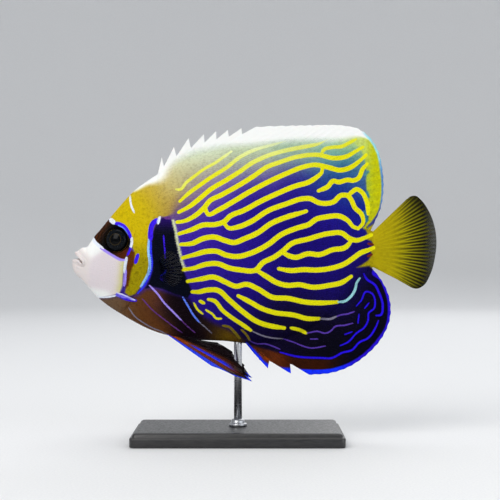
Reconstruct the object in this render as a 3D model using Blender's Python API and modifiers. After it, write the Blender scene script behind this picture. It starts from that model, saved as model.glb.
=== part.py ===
"""Emperor angelfish, life size, swimming level on a plain display stand.

The fish faces -X with its left side to -Y, and +Z is up. The origin is the centre of the
stand's underside. Body, fins, eyes, jaws and gill covers are closed solids that meet face
to face across a thin gap.
"""

import math

import bmesh
import bpy
import numpy as np
from mathutils import Matrix, Vector

# Driving dimensions, in metres
TOTAL_LENGTH = 0.182
BODY_WIDTH = 0.030
EYE_DIAMETER = 0.0122
AXIS_HEIGHT = 0.095
GAP = 0.0003

# Outline points below are millimetres on a fish 182 mm long, (x, z) from its own axis
MM = TOTAL_LENGTH / 182

# Fish outline: the back and the belly without their fins, snout to tail root
BACK = [
    (-82.8, -7.0), (-81.2, -1.9), (-80.2, -0.6), (-77.9, 1.1), (-75.2, 1.7), (-73.6, 3.9), (-72.0, 6.4),
    (-69.0, 9.9), (-63.8, 16.2), (-58.0, 23.0), (-52.0, 29.4), (-45.5, 34.3), (-34.0, 41.3), (-16.5, 48.2),
    (3.5, 51.5), (23.5, 49.0), (42.0, 39.5), (50.0, 32.0), (57.0, 22.5), (62.0, 14.5), (65.0, 10.4),
    (67.5, 9.3),
]
BELLY = [
    (-82.8, -7.5), (-82.1, -10.1), (-80.6, -12.4), (-77.9, -14.8), (-73.7, -19.6), (-71.0, -22.7),
    (-67.5, -25.7), (-57.0, -32.7), (-43.0, -40.0), (-26.5, -44.2), (-6.5, -45.4), (8.5, -46.7),
    (28.5, -42.0), (47.0, -30.7), (60.0, -16.2), (64.5, -10.2), (67.5, -8.6),
]
# Half widths as shares of the greatest one, and the height at which each section is widest
WIDTH = [
    (-82.8, 0.04), (-81.6, 0.17), (-79.0, 0.24), (-75.0, 0.31), (-71.0, 0.40), (-65.0, 0.55), (-58.0, 0.69),
    (-51.0, 0.80), (-43.0, 0.91), (-35.0, 0.975), (-25.0, 1.0), (-13.0, 0.985), (1.0, 0.92), (16.0, 0.81),
    (31.0, 0.67), (43.5, 0.52), (53.5, 0.39), (61.0, 0.28), (67.5, 0.17),
]
WIDEST = [
    (-82.8, -7.2), (-69.0, -7.0), (-54.0, -6.0), (-39.0, -6.0), (-19.0, -4.0), (6.0, -1.0), (31.0, 0.3),
    (67.5, 0.4),
]
STATIONS = 46
RING = 30
STATION_CROWDING = 1.35
RIDGE_SHARPNESS = 1.15
KEEL_ROUNDNESS = 0.92

# Head outlines
GILL_EDGE = [
    (-40.5, 40.0), (-39.6, 25.0), (-39.2, 17.2), (-42.6, 13.6), (-43.8, 5.0), (-43.2, -6.0), (-44.4, -12.5),
    (-48.0, -18.8), (-51.8, -22.3), (-55.0, -28.0), (-58.5, -36.0),
]
GILL_EDGE_TOP, GILL_EDGE_BOTTOM = 3, 8
PREOPERCLE = [(-56.6, -20.5), (-56.0, -12.5), (-54.7, -4.0), (-53.0, 2.6), (-50.2, 8.6), (-46.6, 13.0)]
UPPER_JAW = [
    (-84.0, 8.0), (-74.6, 8.0), (-74.7, 2.2), (-75.8, -2.0), (-77.4, -5.9), (-79.4, -3.7), (-81.3, -2.1),
    (-84.0, 0.0),
]
LOWER_JAW = [
    (-84.0, -4.6), (-82.1, -4.8), (-80.6, -4.6), (-79.0, -5.2), (-77.6, -6.6), (-75.8, -9.5), (-75.0, -13.0),
    (-76.2, -18.4), (-84.0, -22.0),
]
MOUTH = [
    (-85.0, -1.0), (-81.3, -2.1), (-79.4, -3.7), (-77.4, -5.9), (-77.6, -6.6), (-79.0, -5.2), (-80.6, -4.6),
    (-85.0, -4.2),
]
STALK_START = 50.0
GILL_PLATE = 0.0020
GILL_PROUD = 0.0004
EYE_CENTRE = (-59.6, 4.8)
EYE_DEPTH = 0.0036
EYE_BULGE = 0.0012
EYE_TOE_IN = math.radians(13)
EYE_TILT_UP = math.radians(8)
NOSTRILS = [(-67.6, 5.6), (-66.0, 7.4)]
NOSTRIL_RADIUS = 0.0007
CHEEK_SPINE = [(-59.8, -21.6), (-50.2, -24.8)]
CHEEK_SPINE_LIFTS = (-0.6, 1.5)
CHEEK_SPINE_RADIUS = 0.0014

# Dorsal and anal fins: their spines and rays, and the margins they reach to
DORSAL_SPINES = 14
DORSAL_RAYS = 20
SPINE_TIPS = [
    (-38.1, 46.1), (-32.1, 51.2), (-24.7, 55.7), (-17.1, 58.0), (-4.8, 60.0), (13.2, 62.0), (39.5, 62.5),
]
SPINE_TIP_CROWDING = 0.85
SPINE_ROOT_START, SPINE_ROOT_END = -40.2, 20.5
NOTCH_DEEP, NOTCH_SHALLOW, NOTCH_CHANGE = 4.2, 0.5, 6.2
DORSAL_MARGIN = [
    (41.0, 62.5), (53.5, 62.1), (60.0, 60.7), (65.5, 56.8), (70.0, 49.8), (72.3, 40.0), (72.8, 30.0),
    (71.2, 20.4), (68.6, 14.8), (66.4, 12.2),
]
ANAL_RAYS = 20
ANAL_SPINE_TIPS = [(14.9, -59.3), (26.5, -61.9), (35.5, -62.3)]
ANAL_SPINE_NOTCHES = [(15.6, -55.2), (26.0, -56.6)]
ANAL_FRONT = (6.4, -49.8)
ANAL_SPINE_ROOTS = [4.6, 9.0, 13.6, 17.5]
ANAL_MARGIN = [
    (36.5, -62.4), (46.0, -61.6), (55.0, -58.7), (64.0, -52.7), (72.0, -43.9), (76.0, -34.5), (76.4, -28.0),
    (74.6, -20.4), (71.0, -13.9), (67.2, -10.8),
]
DORSAL_ROOT_END, ANAL_ROOT_END = 61.2, 61.6
ROOT_SINK = 1.6
FIN_ROOT_HALF = 0.0011
MEMBRANE_HALF = 0.00028
SPINE_HALF = 0.00062
RAY_HALF = 0.00042
FIN_ROWS = 5

# Tail fin
TAIL_RAYS = 17
TAIL_ROOT_X = 67.5
TAIL_MARGIN = [
    (87.9, 27.2), (91.7, 25.0), (96.7, 18.0), (98.9, 9.2), (99.2, 1.5), (98.0, -6.0), (95.5, -13.6),
    (91.7, -18.4), (87.9, -18.7),
]

# Paired fins, (x, y, z) in millimetres, for the left side
PECTORAL_ROOT = [(-39.0, -12.6, -5.6), (-37.6, -12.8, -9.6), (-38.0, -12.2, -14.0)]
PECTORAL_TIP = [
    (-33.4, -31.0, -0.4), (-29.8, -36.4, -0.8), (-26.8, -38.6, -5.0), (-25.4, -38.0, -10.2),
    (-26.6, -34.6, -14.8), (-30.4, -28.0, -17.8),
]
PECTORAL_RAYS = 15
PECTORAL_CAMBER = 1.6
PELVIC_ROOT = [(-36.0, -2.2, -41.6), (-31.0, -3.2, -43.0), (-25.5, -3.8, -43.6)]
PELVIC_TIP = [
    (-12.9, -7.4, -57.4), (8.4, -9.8, -65.4), (4.6, -10.0, -60.6), (0.0, -9.6, -54.6), (-5.0, -8.4, -49.6),
    (-10.5, -6.6, -46.6),
]
PELVIC_RAYS = 6
PELVIC_CAMBER = 0.8

# Stand
BASE_SIZE = (0.104, 0.060, 0.007)
BASE_CORNER = 0.0016
ROD_RADIUS = 0.002
COLLAR_RADIUS = 0.0045
COLLAR_HEIGHT = 0.0035

LEFT, RIGHT = -1, 1
SIDES = {"left": LEFT, "right": RIGHT}

COLOURS = {
    "face_white": ((0.84, 0.78, 0.80), 0.45, 0.0),
    "nape_yellow": ((0.72, 0.58, 0.03), 0.45, 0.0),
    "body_violet": ((0.11, 0.05, 0.50), 0.42, 0.0),
    "fin_white": ((0.82, 0.85, 0.82), 0.5, 0.0),
    "fin_yellow": ((0.80, 0.70, 0.03), 0.5, 0.0),
    "fin_dark": ((0.03, 0.02, 0.09), 0.5, 0.0),
    "fin_orange": ((0.45, 0.16, 0.04), 0.5, 0.0),
    "spine_blue": ((0.06, 0.16, 0.85), 0.4, 0.0),
    "eye_dark": ((0.012, 0.010, 0.010), 0.08, 0.0),
    "stand_black": ((0.03, 0.03, 0.032), 0.35, 0.0),
    "rod_steel": ((0.62, 0.62, 0.64), 0.28, 1.0),
}


def at_fish(x, y, z):
    """Millimetres from the fish's axis to metres in the row frame."""
    return Vector((x * MM, y * MM, z * MM + AXIS_HEIGHT))


def curve_through(points):
    """A smooth function of x through (x, value) points, held level beyond both ends."""
    xs, values = np.array(points, float).T
    slopes = np.gradient(values, xs)

    def at(x):
        i = int(np.clip(np.searchsorted(xs, x) - 1, 0, len(xs) - 2))
        step = xs[i + 1] - xs[i]
        t = float(np.clip((x - xs[i]) / step, 0, 1))
        rise = values[i + 1] - values[i]
        leaving = slopes[i] * step - rise
        arriving = rise - slopes[i + 1] * step
        return values[i] + t * rise + t * (1 - t) * ((1 - t) * leaving + t * arriving)

    return at


def path_through(points):
    """A smooth path through points of two or three numbers, as a function of the share of its length."""
    points = np.array(points, float)
    steps = np.linalg.norm(np.diff(points, axis=0), axis=1)
    along = np.concatenate([[0], np.cumsum(steps)]) / steps.sum()
    parts = [curve_through(list(zip(along, column))) for column in points.T]
    return lambda share: np.array([part(share) for part in parts])


back, belly = curve_through(BACK), curve_through(BELLY)
width_share, widest = curve_through(WIDTH), curve_through(WIDEST)


def material(name):
    """The Principled material of that name, made once."""
    if name in bpy.data.materials:
        return bpy.data.materials[name]
    colour, roughness, metallic = COLOURS[name]
    made = bpy.data.materials.new(name)
    made.use_nodes = True
    shader = made.node_tree.nodes["Principled BSDF"]
    shader.inputs["Base Color"].default_value = (*colour, 1)
    shader.inputs["Roughness"].default_value = roughness
    shader.inputs["Metallic"].default_value = metallic
    return made


def add_object(name, mesh, collection, colour=None):
    """A node of the model where a colour is given, or else a hidden cutter."""
    made = bpy.data.objects.new(name, mesh)
    collection.objects.link(made)
    if colour:
        mesh.materials.clear()
        mesh.materials.append(material(colour))
        mesh.shade_smooth()
        mesh.set_sharp_from_angle(angle=math.radians(40))
    else:
        made.hide_render = True
        made.display_type = "WIRE"
    return made


def body_ring(x, grow):
    """One cross-section of the body at x millimetres, grown outward by metres."""
    extra = grow / MM
    top, bottom, middle = back(x) + extra, belly(x) - extra, widest(x)
    half = width_share(x) * BODY_WIDTH / 2 / MM + extra
    ring = []
    for k in range(RING):
        angle = 2 * math.pi * k / RING
        up, across = math.sin(angle), math.cos(angle)
        sharpness = RIDGE_SHARPNESS if up > 0 else KEEL_ROUNDNESS
        reach = math.copysign(abs(across) ** sharpness, across)
        height = (top - middle) * up if up > 0 else (middle - bottom) * up
        ring.append((half * reach, middle + height))
    return ring


def body_mesh(name, grow=0.0):
    """The whole body without fins, lofted through its cross-sections."""
    front, rear = BACK[0][0], BACK[-1][0]
    shares = np.linspace(0, 1, STATIONS) ** STATION_CROWDING
    bm = bmesh.new()
    rings = []
    for share in shares:
        x = front + (rear - front) * share
        shifted = x + grow / MM * (2 * share - 1)
        rings.append([bm.verts.new(at_fish(shifted, y, z)) for y, z in body_ring(x, grow)])
    for first, second in zip(rings, rings[1:]):
        for k in range(RING):
            after = (k + 1) % RING
            bm.faces.new((first[k], second[k], second[after], first[after]))
    bm.faces.new(rings[0])
    bm.faces.new(rings[-1][::-1])
    bmesh.ops.recalc_face_normals(bm, faces=bm.faces)
    mesh = bpy.data.meshes.new(name)
    bm.to_mesh(mesh)
    bm.free()
    return mesh


def surface_reach(x, z):
    """How far the flank lies from the midplane at that place of the side view, in millimetres."""
    middle = widest(x)
    span = back(x) - middle if z > middle else middle - belly(x)
    across = math.sqrt(max(0.0, 1 - ((z - middle) / span) ** 2))
    sharpness = RIDGE_SHARPNESS if z > middle else KEEL_ROUNDNESS
    return width_share(x) * BODY_WIDTH / 2 / MM * across**sharpness


def slab(name, outline, low, high, collection):
    """A flat outline in the side view, extruded across the fish from y low to y high in millimetres."""
    curve = bpy.data.curves.new(name, "CURVE")
    curve.dimensions = "2D"
    curve.fill_mode = "BOTH"
    curve.extrude = (high - low) / 2 * MM
    spline = curve.splines.new("POLY")
    spline.points.add(len(outline) - 1)
    for point, (x, z) in zip(spline.points, outline):
        point.co = (x * MM, z * MM, 0, 1)
    spline.use_cyclic_u = True
    drawn = bpy.data.objects.new(name + "_outline", curve)
    drawn.location = (0, (low + high) / 2 * MM, AXIS_HEIGHT)
    drawn.rotation_euler = (math.pi / 2, 0, 0)
    collection.objects.link(drawn)
    return mesh_of_curve(name, drawn, collection)


def mesh_of_curve(name, drawn, collection, colour=None):
    """A curve object's closed mesh as a new object, with the curve removed."""
    bpy.context.view_layer.update()
    graph = bpy.context.evaluated_depsgraph_get()
    mesh = bpy.data.meshes.new_from_object(drawn.evaluated_get(graph))
    mesh.transform(drawn.matrix_world)
    bm = bmesh.new()
    bm.from_mesh(mesh)
    bmesh.ops.remove_doubles(bm, verts=bm.verts, dist=1e-6)
    bmesh.ops.recalc_face_normals(bm, faces=bm.faces)
    bm.to_mesh(mesh)
    bm.free()
    bpy.data.objects.remove(drawn)
    return add_object(name, mesh, collection, colour)


def keep_largest(mesh):
    """Leaves only the closed surface with the most volume."""
    bm = bmesh.new()
    bm.from_mesh(mesh)
    left = set(bm.verts)
    pieces = []
    while left:
        piece = set()
        front = [next(iter(left))]
        while front:
            vert = front.pop()
            if vert not in piece:
                piece.add(vert)
                front.extend(edge.other_vert(vert) for edge in vert.link_edges)
        left -= piece
        pieces.append(piece)

    def volume(piece):
        faces = {face for vert in piece for face in vert.link_faces}
        return abs(sum(face.calc_center_median().dot(face.normal) * face.calc_area() for face in faces))

    pieces.sort(key=volume)
    for piece in pieces[:-1]:
        bmesh.ops.delete(bm, geom=list(piece), context="VERTS")
    bm.to_mesh(mesh)
    bm.free()


def carved(name, base, steps, collection, colour):
    """base's mesh after the Boolean steps, (operation, cutter) in turn, as a node of its own."""
    rough = add_object(name + "_rough", base.copy(), collection)
    for operation, cutter in steps:
        step = rough.modifiers.new(operation.lower(), "BOOLEAN")
        step.operation = operation
        step.object = cutter
    bpy.context.view_layer.update()
    graph = bpy.context.evaluated_depsgraph_get()
    mesh = bpy.data.meshes.new_from_object(rough.evaluated_get(graph))
    mesh.name = name
    bpy.data.objects.remove(rough)
    keep_largest(mesh)
    return add_object(name, mesh, collection, colour)


def blade_mesh(name, columns, rows, camber=0.0):
    """A thin fin as one closed mesh, with both faces split into triangles alike.

    Each column is (root point, tip point, half thickness at the root, half thickness further out).
    Its points are three numbers in millimetres, and its half thicknesses are metres.
    """
    shares = np.linspace(0, 1, rows + 1)
    roots, tips = (np.array([column[k] for column in columns], float) for k in (0, 1))
    grid = roots[:, None] + shares[None, :, None] * (tips - roots)[:, None]
    across = np.gradient(grid, axis=0)
    outward = np.gradient(grid, axis=1)
    normal = np.cross(across, outward)
    normal /= np.maximum(np.linalg.norm(normal, axis=2, keepdims=True), 1e-9)
    grid = grid + normal * (camber * np.sin(math.pi * shares))[None, :, None]
    thick_root, thick_out = (np.array([column[k] for column in columns]) / MM for k in (2, 3))
    fade = (1 - shares) ** 2
    half = thick_out[:, None] + (thick_root - thick_out)[:, None] * fade[None, :]
    half[:, -1] *= 0.6
    bm = bmesh.new()
    layers = []
    for sign in (1, -1):
        layer = grid + sign * half[..., None] * normal
        layers.append([[bm.verts.new(at_fish(*point)) for point in column] for column in layer])
    near, far = layers
    count = len(columns)
    for i in range(count - 1):
        for j in range(rows):
            for layer in layers:
                bm.faces.new((layer[i][j], layer[i + 1][j], layer[i + 1][j + 1]))
                bm.faces.new((layer[i][j], layer[i + 1][j + 1], layer[i][j + 1]))
        for j in (0, rows):
            bm.faces.new((near[i][j], far[i][j], far[i + 1][j], near[i + 1][j]))
    for i in (0, count - 1):
        for j in range(rows):
            bm.faces.new((near[i][j], far[i][j], far[i][j + 1], near[i][j + 1]))
    bmesh.ops.recalc_face_normals(bm, faces=bm.faces)
    mesh = bpy.data.meshes.new(name)
    bm.to_mesh(mesh)
    bm.free()
    return mesh


def flat(point):
    """A side-view point on the fish's midplane."""
    return (point[0], 0.0, point[1])


def notch_depth(spine):
    """How deep the membrane is cut behind a dorsal spine, in millimetres: deep in front, shallow behind."""
    return NOTCH_SHALLOW + (NOTCH_DEEP - NOTCH_SHALLOW) / (1 + math.exp(2.5 * (spine - NOTCH_CHANGE)))


def spiny_dorsal_columns():
    """Per spine its own column, then one in the notch behind it and one half way to the next tip."""
    tip_path = path_through(SPINE_TIPS)
    last = DORSAL_SPINES - 1
    tips = [tip_path((k / last) ** SPINE_TIP_CROWDING) for k in range(DORSAL_SPINES)]
    columns = []
    for k, tip in enumerate(tips):
        root_x = SPINE_ROOT_START + (SPINE_ROOT_END - SPINE_ROOT_START) * k / last
        step = (SPINE_ROOT_END - SPINE_ROOT_START) / last
        places = [(root_x, tip, SPINE_HALF)]
        if k < last:
            depth = notch_depth(k)
            notch = tip + np.array([0.35 * depth**0.5, -depth])
            following = tips[k + 1]
            middle = notch + 0.5 * (following - notch) + np.array([0.0, 0.1 * depth**0.5])
            places.append((root_x + 0.25 * step, notch, MEMBRANE_HALF))
            places.append((root_x + 0.62 * step, middle, MEMBRANE_HALF))
        for x, reach, half in places:
            columns.append((flat((x, back(x) - ROOT_SINK)), flat(reach), FIN_ROOT_HALF, half))
    return columns


def ray_columns(root_of, tip_of, rays, root_half=FIN_ROOT_HALF, ray_half=RAY_HALF):
    """A ridge column for each ray, with a membrane column between it and the next."""
    columns = []
    for k in range(2 * rays - 1):
        share = k / (2 * rays - 2)
        half = MEMBRANE_HALF if k % 2 else ray_half
        columns.append((root_of(share), tip_of(share), root_half, half))
    return columns


def soft_fin(margin, root_line, root_start, root_end, sink):
    """Root and tip functions of a soft fin whose rays spread from the body's ridge to a margin."""
    margin_path = path_through(margin)
    ridge_xs = np.linspace(root_start, root_end, 24)
    ridge = path_through([(x, root_line(x) + sink) for x in ridge_xs])
    return lambda share: flat(ridge(share)), lambda share: flat(margin_path(share))


def anal_columns():
    """The three anal spines with their notches, then the soft rays."""
    places = [(ANAL_SPINE_ROOTS[0] - 0.8, ANAL_FRONT, MEMBRANE_HALF)]
    for k, tip in enumerate(ANAL_SPINE_TIPS):
        places.append((ANAL_SPINE_ROOTS[k], tip, SPINE_HALF))
        if k < len(ANAL_SPINE_NOTCHES):
            between = (ANAL_SPINE_ROOTS[k] + ANAL_SPINE_ROOTS[k + 1]) / 2
            places.append((between, ANAL_SPINE_NOTCHES[k], MEMBRANE_HALF))
    columns = []
    for x, reach, half in places:
        columns.append((flat((x, belly(x) + ROOT_SINK)), flat(reach), FIN_ROOT_HALF, half))
    soft_root, soft_tip = soft_fin(ANAL_MARGIN, belly, ANAL_SPINE_ROOTS[-1], ANAL_ROOT_END, ROOT_SINK)
    return columns + ray_columns(soft_root, soft_tip, ANAL_RAYS)


def tail_columns():
    """Tail rays from the end of the tail stalk, fanning out to the margin."""
    top, bottom = back(TAIL_ROOT_X), belly(TAIL_ROOT_X)
    margin = path_through(TAIL_MARGIN)
    end_half = width_share(TAIL_ROOT_X) * BODY_WIDTH / 2
    columns = []
    count = 2 * TAIL_RAYS - 1
    for k in range(count):
        share = k / (count - 1)
        height = top + (bottom - top) * share
        root = (TAIL_ROOT_X + GAP / MM, 0.0, height)
        swell = math.sqrt(max(0.0, 1 - (2 * share - 1) ** 2))
        half = MEMBRANE_HALF if k % 2 else RAY_HALF
        columns.append((root, flat(margin(share)), half + (end_half - half) * swell, half))
    return columns


def paired_columns(root_points, tip_points, rays, root_half, spine_half=None):
    """Ray columns of a pectoral or pelvic fin, with a thicker first ray where it is a spine."""
    root_path, tip_path = path_through(root_points), path_through(tip_points)
    columns = ray_columns(root_path, tip_path, rays, root_half)
    if spine_half:
        root, tip, at_root, _ = columns[0]
        columns[0] = (root, tip, at_root, spine_half)
    return columns


def mirrored(points, side):
    return [(x, y * -side, z) for x, y, z in points]


def ellipsoid(name, centre, radii, turns, collection, colour=None, segments=24):
    """A UV sphere stretched to radii (m), turned about Z then X, with its poles across the fish."""
    bm = bmesh.new()
    bmesh.ops.create_uvsphere(bm, u_segments=segments, v_segments=segments // 2, radius=1)
    mesh = bpy.data.meshes.new(name)
    bm.to_mesh(mesh)
    bm.free()
    made = add_object(name, mesh, collection, colour)
    made.location = centre
    made.scale = (radii[0], radii[2], radii[1])
    made.rotation_mode = "ZXY"
    made.rotation_euler = (math.pi / 2 + turns[1], 0, turns[0])
    bpy.context.view_layer.update()
    mesh.transform(made.matrix_world)
    made.matrix_world.identity()
    made.location = (0, 0, 0)
    made.rotation_euler = (0, 0, 0)
    made.scale = (1, 1, 1)
    return made


def moved(line, distance):
    return [(x + distance, z) for x, z in line]


def outset(outline, distance):
    """A closed side-view outline moved outward by distance in millimetres."""
    points = np.array(outline, float)
    edges = np.roll(points, -1, axis=0) - points
    area = np.sum(points[:, 0] * np.roll(points[:, 1], -1) - np.roll(points[:, 0], -1) * points[:, 1])
    normals = np.stack([edges[:, 1], -edges[:, 0]], axis=1) * np.sign(area)
    normals /= np.linalg.norm(normals, axis=1, keepdims=True)
    before = np.roll(normals, 1, axis=0)
    spread = np.maximum(1 + np.sum(normals * before, axis=1, keepdims=True), 0.3)
    return (points + distance * (normals + before) / spread).tolist()


def build_fish(parts, cutters):
    """The body in its named pieces, then what grows from it."""
    gap = GAP / MM
    beyond = 120.0
    body = body_mesh("body")
    clearance = add_object("body_clearance", body_mesh("body_clearance", GAP), cutters)
    proud = body_mesh("body_proud", GILL_PROUD)
    proud_clearance = add_object("proud_clearance", body_mesh("proud_clearance", GILL_PROUD + GAP), cutters)
    gill_bed = add_object("gill_bed", body_mesh("gill_bed", -GILL_PLATE), cutters)
    core = body_mesh("core", -GILL_PLATE - GAP)

    def side_slab(name, outline):
        return slab(name, outline, -beyond, beyond, cutters)

    before_gills = [(-beyond, beyond), *moved(GILL_EDGE, -gap / 2), (-beyond, -beyond)]
    behind_gills = [(STALK_START, beyond), *moved(GILL_EDGE, gap / 2), (STALK_START, -beyond)]
    low_stalk, high_stalk = (STALK_START + gap, -beyond), (STALK_START + gap, beyond)
    head_side = side_slab("head_side", before_gills)
    trunk_side = side_slab("trunk_side", behind_gills)
    stalk_side = side_slab("stalk_side", [high_stalk, low_stalk, (beyond, -beyond), (beyond, beyond)])
    muzzle_gap = side_slab("muzzle_gap", outset(UPPER_JAW, gap))
    chin_gap = side_slab("chin_gap", outset(LOWER_JAW, gap))
    mouth_gap = side_slab("mouth_gap", MOUTH)

    plate_outline = [*PREOPERCLE, *moved(GILL_EDGE[GILL_EDGE_TOP : GILL_EDGE_BOTTOM + 1], -gap / 2)]
    recess_outline = outset(plate_outline, gap)
    recesses, eye_sockets, nostril_pits = [], [], []
    for side_name, side in SIDES.items():
        low, high = sorted((0.0, side * beyond))
        plate = slab("plate_" + side_name, plate_outline, low, high, cutters)
        carved(
            "gill_cover_" + side_name,
            proud,
            [("INTERSECT", plate), ("DIFFERENCE", gill_bed)],
            parts,
            "nape_yellow",
        )
        rough = slab("recess_" + side_name, recess_outline, low, high, cutters)
        core_cutter = add_object("core_" + side_name, core.copy(), cutters)
        recess = carved("recess_cut_" + side_name, rough.data, [("DIFFERENCE", core_cutter)], cutters, None)
        recesses.append(("DIFFERENCE", recess))
        reach = surface_reach(*EYE_CENTRE) * MM
        centre = at_fish(EYE_CENTRE[0], 0, EYE_CENTRE[1])
        centre.y = side * (reach + EYE_BULGE - EYE_DEPTH)
        turns = (side * -EYE_TOE_IN, side * EYE_TILT_UP)
        radii = (EYE_DIAMETER / 2, EYE_DEPTH, EYE_DIAMETER / 2)
        ellipsoid("eye_" + side_name, centre, radii, turns, parts, "eye_dark")
        socket = ellipsoid("socket_" + side_name, centre, [r + GAP for r in radii], turns, cutters)
        eye_sockets.append(("DIFFERENCE", socket))
        for number, (x, z) in enumerate(NOSTRILS):
            pit = at_fish(x, side * surface_reach(x, z), z)
            name = f"nostril_{number}_{side_name}"
            cutter = ellipsoid(name, pit, [NOSTRIL_RADIUS] * 3, (0, 0), cutters, segments=10)
            nostril_pits.append(("DIFFERENCE", cutter))

    head_steps = [("INTERSECT", head_side)]
    head_steps += [("DIFFERENCE", cutter) for cutter in (muzzle_gap, chin_gap, mouth_gap)]
    head_steps += recesses + eye_sockets + nostril_pits
    carved("head", body, head_steps, parts, "nape_yellow")
    carved("torso", body, [("INTERSECT", trunk_side)] + recesses, parts, "body_violet")
    carved("tail_stalk", body, [("INTERSECT", stalk_side)], parts, "body_violet")
    for name, outline in (("upper_jaw", UPPER_JAW), ("lower_jaw", LOWER_JAW)):
        jaw_side = side_slab(name + "_side", outline)
        carved(name, body, [("INTERSECT", jaw_side)], parts, "face_white")
    build_fins(parts, cutters, clearance, proud_clearance)
    return clearance


def build_fins(parts, cutters, clearance, proud_clearance):
    """Every fin and the cheek spines, each cut back to the body it grows from."""
    gap = GAP / MM
    cut_to_body = [("DIFFERENCE", clearance)]
    spiny = blade_mesh("spiny", spiny_dorsal_columns(), FIN_ROWS)
    carved("dorsal_fin_spiny", spiny, cut_to_body, parts, "fin_white")
    soft_root, soft_tip = soft_fin(DORSAL_MARGIN, back, SPINE_ROOT_END + gap, DORSAL_ROOT_END, -ROOT_SINK)
    soft = blade_mesh("soft", ray_columns(soft_root, soft_tip, DORSAL_RAYS), FIN_ROWS)
    carved("dorsal_fin_soft", soft, cut_to_body, parts, "fin_yellow")
    carved("anal_fin", blade_mesh("anal", anal_columns(), FIN_ROWS), cut_to_body, parts, "fin_dark")
    add_object("tail_fin", blade_mesh("tail", tail_columns(), FIN_ROWS), parts, "fin_yellow")
    for side_name, side in SIDES.items():
        for kind, root, tip, rays, camber, spine, colour in (
            ("pectoral_fin_", PECTORAL_ROOT, PECTORAL_TIP, PECTORAL_RAYS, PECTORAL_CAMBER, None, "fin_dark"),
            ("pelvic_fin_", PELVIC_ROOT, PELVIC_TIP, PELVIC_RAYS, PELVIC_CAMBER, SPINE_HALF, "fin_orange"),
        ):
            columns = paired_columns(mirrored(root, side), mirrored(tip, side), rays, SPINE_HALF, spine)
            fin = blade_mesh(kind + side_name, columns, FIN_ROWS, camber * -side)
            carved(kind + side_name, fin, cut_to_body, parts, colour)
        root, tip = (
            at_fish(x, side * (surface_reach(x, z) + lift), z)
            for (x, z), lift in zip(CHEEK_SPINE, CHEEK_SPINE_LIFTS)
        )
        spine = cone("cheek_spine_cone_" + side_name, root, tip, CHEEK_SPINE_RADIUS, cutters)
        cut_to_gills = [("DIFFERENCE", proud_clearance)]
        carved("cheek_spine_" + side_name, spine.data, cut_to_gills, parts, "spine_blue")


def cone(name, root, tip, radius, collection):
    """A tapered spine from root to tip, whose point keeps a fifth of the root's radius."""
    line = tip - root
    bm = bmesh.new()
    bmesh.ops.create_cone(
        bm, cap_ends=True, segments=12, radius1=radius, radius2=radius / 5, depth=line.length
    )
    mesh = bpy.data.meshes.new(name)
    bm.to_mesh(mesh)
    bm.free()
    mesh.transform(line.to_track_quat("Z", "Y").to_matrix().to_4x4())
    mesh.transform(Matrix.Translation(root + line / 2))
    return add_object(name, mesh, collection)


def cylinder(name, radius, low, high, collection, colour=None):
    """An upright cylinder on the stand's axis."""
    bm = bmesh.new()
    bmesh.ops.create_cone(
        bm, cap_ends=True, segments=32, radius1=radius, radius2=radius, depth=high - low
    )
    mesh = bpy.data.meshes.new(name)
    bm.to_mesh(mesh)
    bm.free()
    mesh.transform(Matrix.Translation((0, 0, (low + high) / 2)))
    return add_object(name, mesh, collection, colour)


def build_stand(parts, cutters, clearance):
    """A flat base, a foot for the rod, and one rod up to the belly just ahead of the anal fin."""
    width, depth, thickness = BASE_SIZE
    bm = bmesh.new()
    bmesh.ops.create_cube(bm, size=1)
    mesh = bpy.data.meshes.new("stand_base")
    bm.to_mesh(mesh)
    bm.free()
    mesh.transform(Matrix.Diagonal((width, depth, thickness, 1)))
    mesh.transform(Matrix.Translation((0, 0, thickness / 2)))
    base = add_object("stand_base", mesh, parts, "stand_black")
    rounding = base.modifiers.new("rounding", "BEVEL")
    rounding.width = BASE_CORNER
    rounding.segments = 3
    collar_low = thickness + GAP
    collar_high = collar_low + COLLAR_HEIGHT
    cylinder("stand_collar", COLLAR_RADIUS, collar_low, collar_high, parts, "rod_steel")
    inside_belly = at_fish(0, 0, belly(0.0)).z + 0.004
    rod = cylinder("rod_blank", ROD_RADIUS, collar_high + GAP, inside_belly, cutters)
    carved("stand_rod", rod.data, [("DIFFERENCE", clearance)], parts, "rod_steel")


def main():
    for old in list(bpy.data.objects):
        bpy.data.objects.remove(old)
    parts = bpy.data.collections.new("emperor_angelfish")
    cutters = bpy.data.collections.new("cutters")
    for collection in (parts, cutters):
        bpy.context.scene.collection.children.link(collection)
    clearance = build_fish(parts, cutters)
    build_stand(parts, cutters, clearance)


main()
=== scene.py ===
"""The looks of the emperor angelfish: skin, scales, markings, fins, eyes and stand.

Distances along the fish are millimetres from its own axis, as in the solids, and to_row turns
them into metres in the row frame. Markings are placed in pixels of the photograph.
"""

import math

import bmesh
import bpy
import numpy as np
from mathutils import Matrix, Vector


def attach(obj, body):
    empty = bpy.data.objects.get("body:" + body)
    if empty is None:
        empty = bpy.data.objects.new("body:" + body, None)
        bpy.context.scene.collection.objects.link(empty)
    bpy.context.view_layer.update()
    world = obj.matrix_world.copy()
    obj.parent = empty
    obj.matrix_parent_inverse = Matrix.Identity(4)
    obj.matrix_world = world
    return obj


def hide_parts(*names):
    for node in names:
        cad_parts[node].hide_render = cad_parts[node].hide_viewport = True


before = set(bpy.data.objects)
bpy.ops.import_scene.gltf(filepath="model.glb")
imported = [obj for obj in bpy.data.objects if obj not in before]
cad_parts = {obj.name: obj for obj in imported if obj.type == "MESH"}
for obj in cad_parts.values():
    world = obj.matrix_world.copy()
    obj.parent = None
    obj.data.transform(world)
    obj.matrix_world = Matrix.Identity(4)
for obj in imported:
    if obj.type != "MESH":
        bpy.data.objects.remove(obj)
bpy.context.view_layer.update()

# Sizes shared with the solids
MM = 0.001
AXIS_HEIGHT = 0.095
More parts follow.
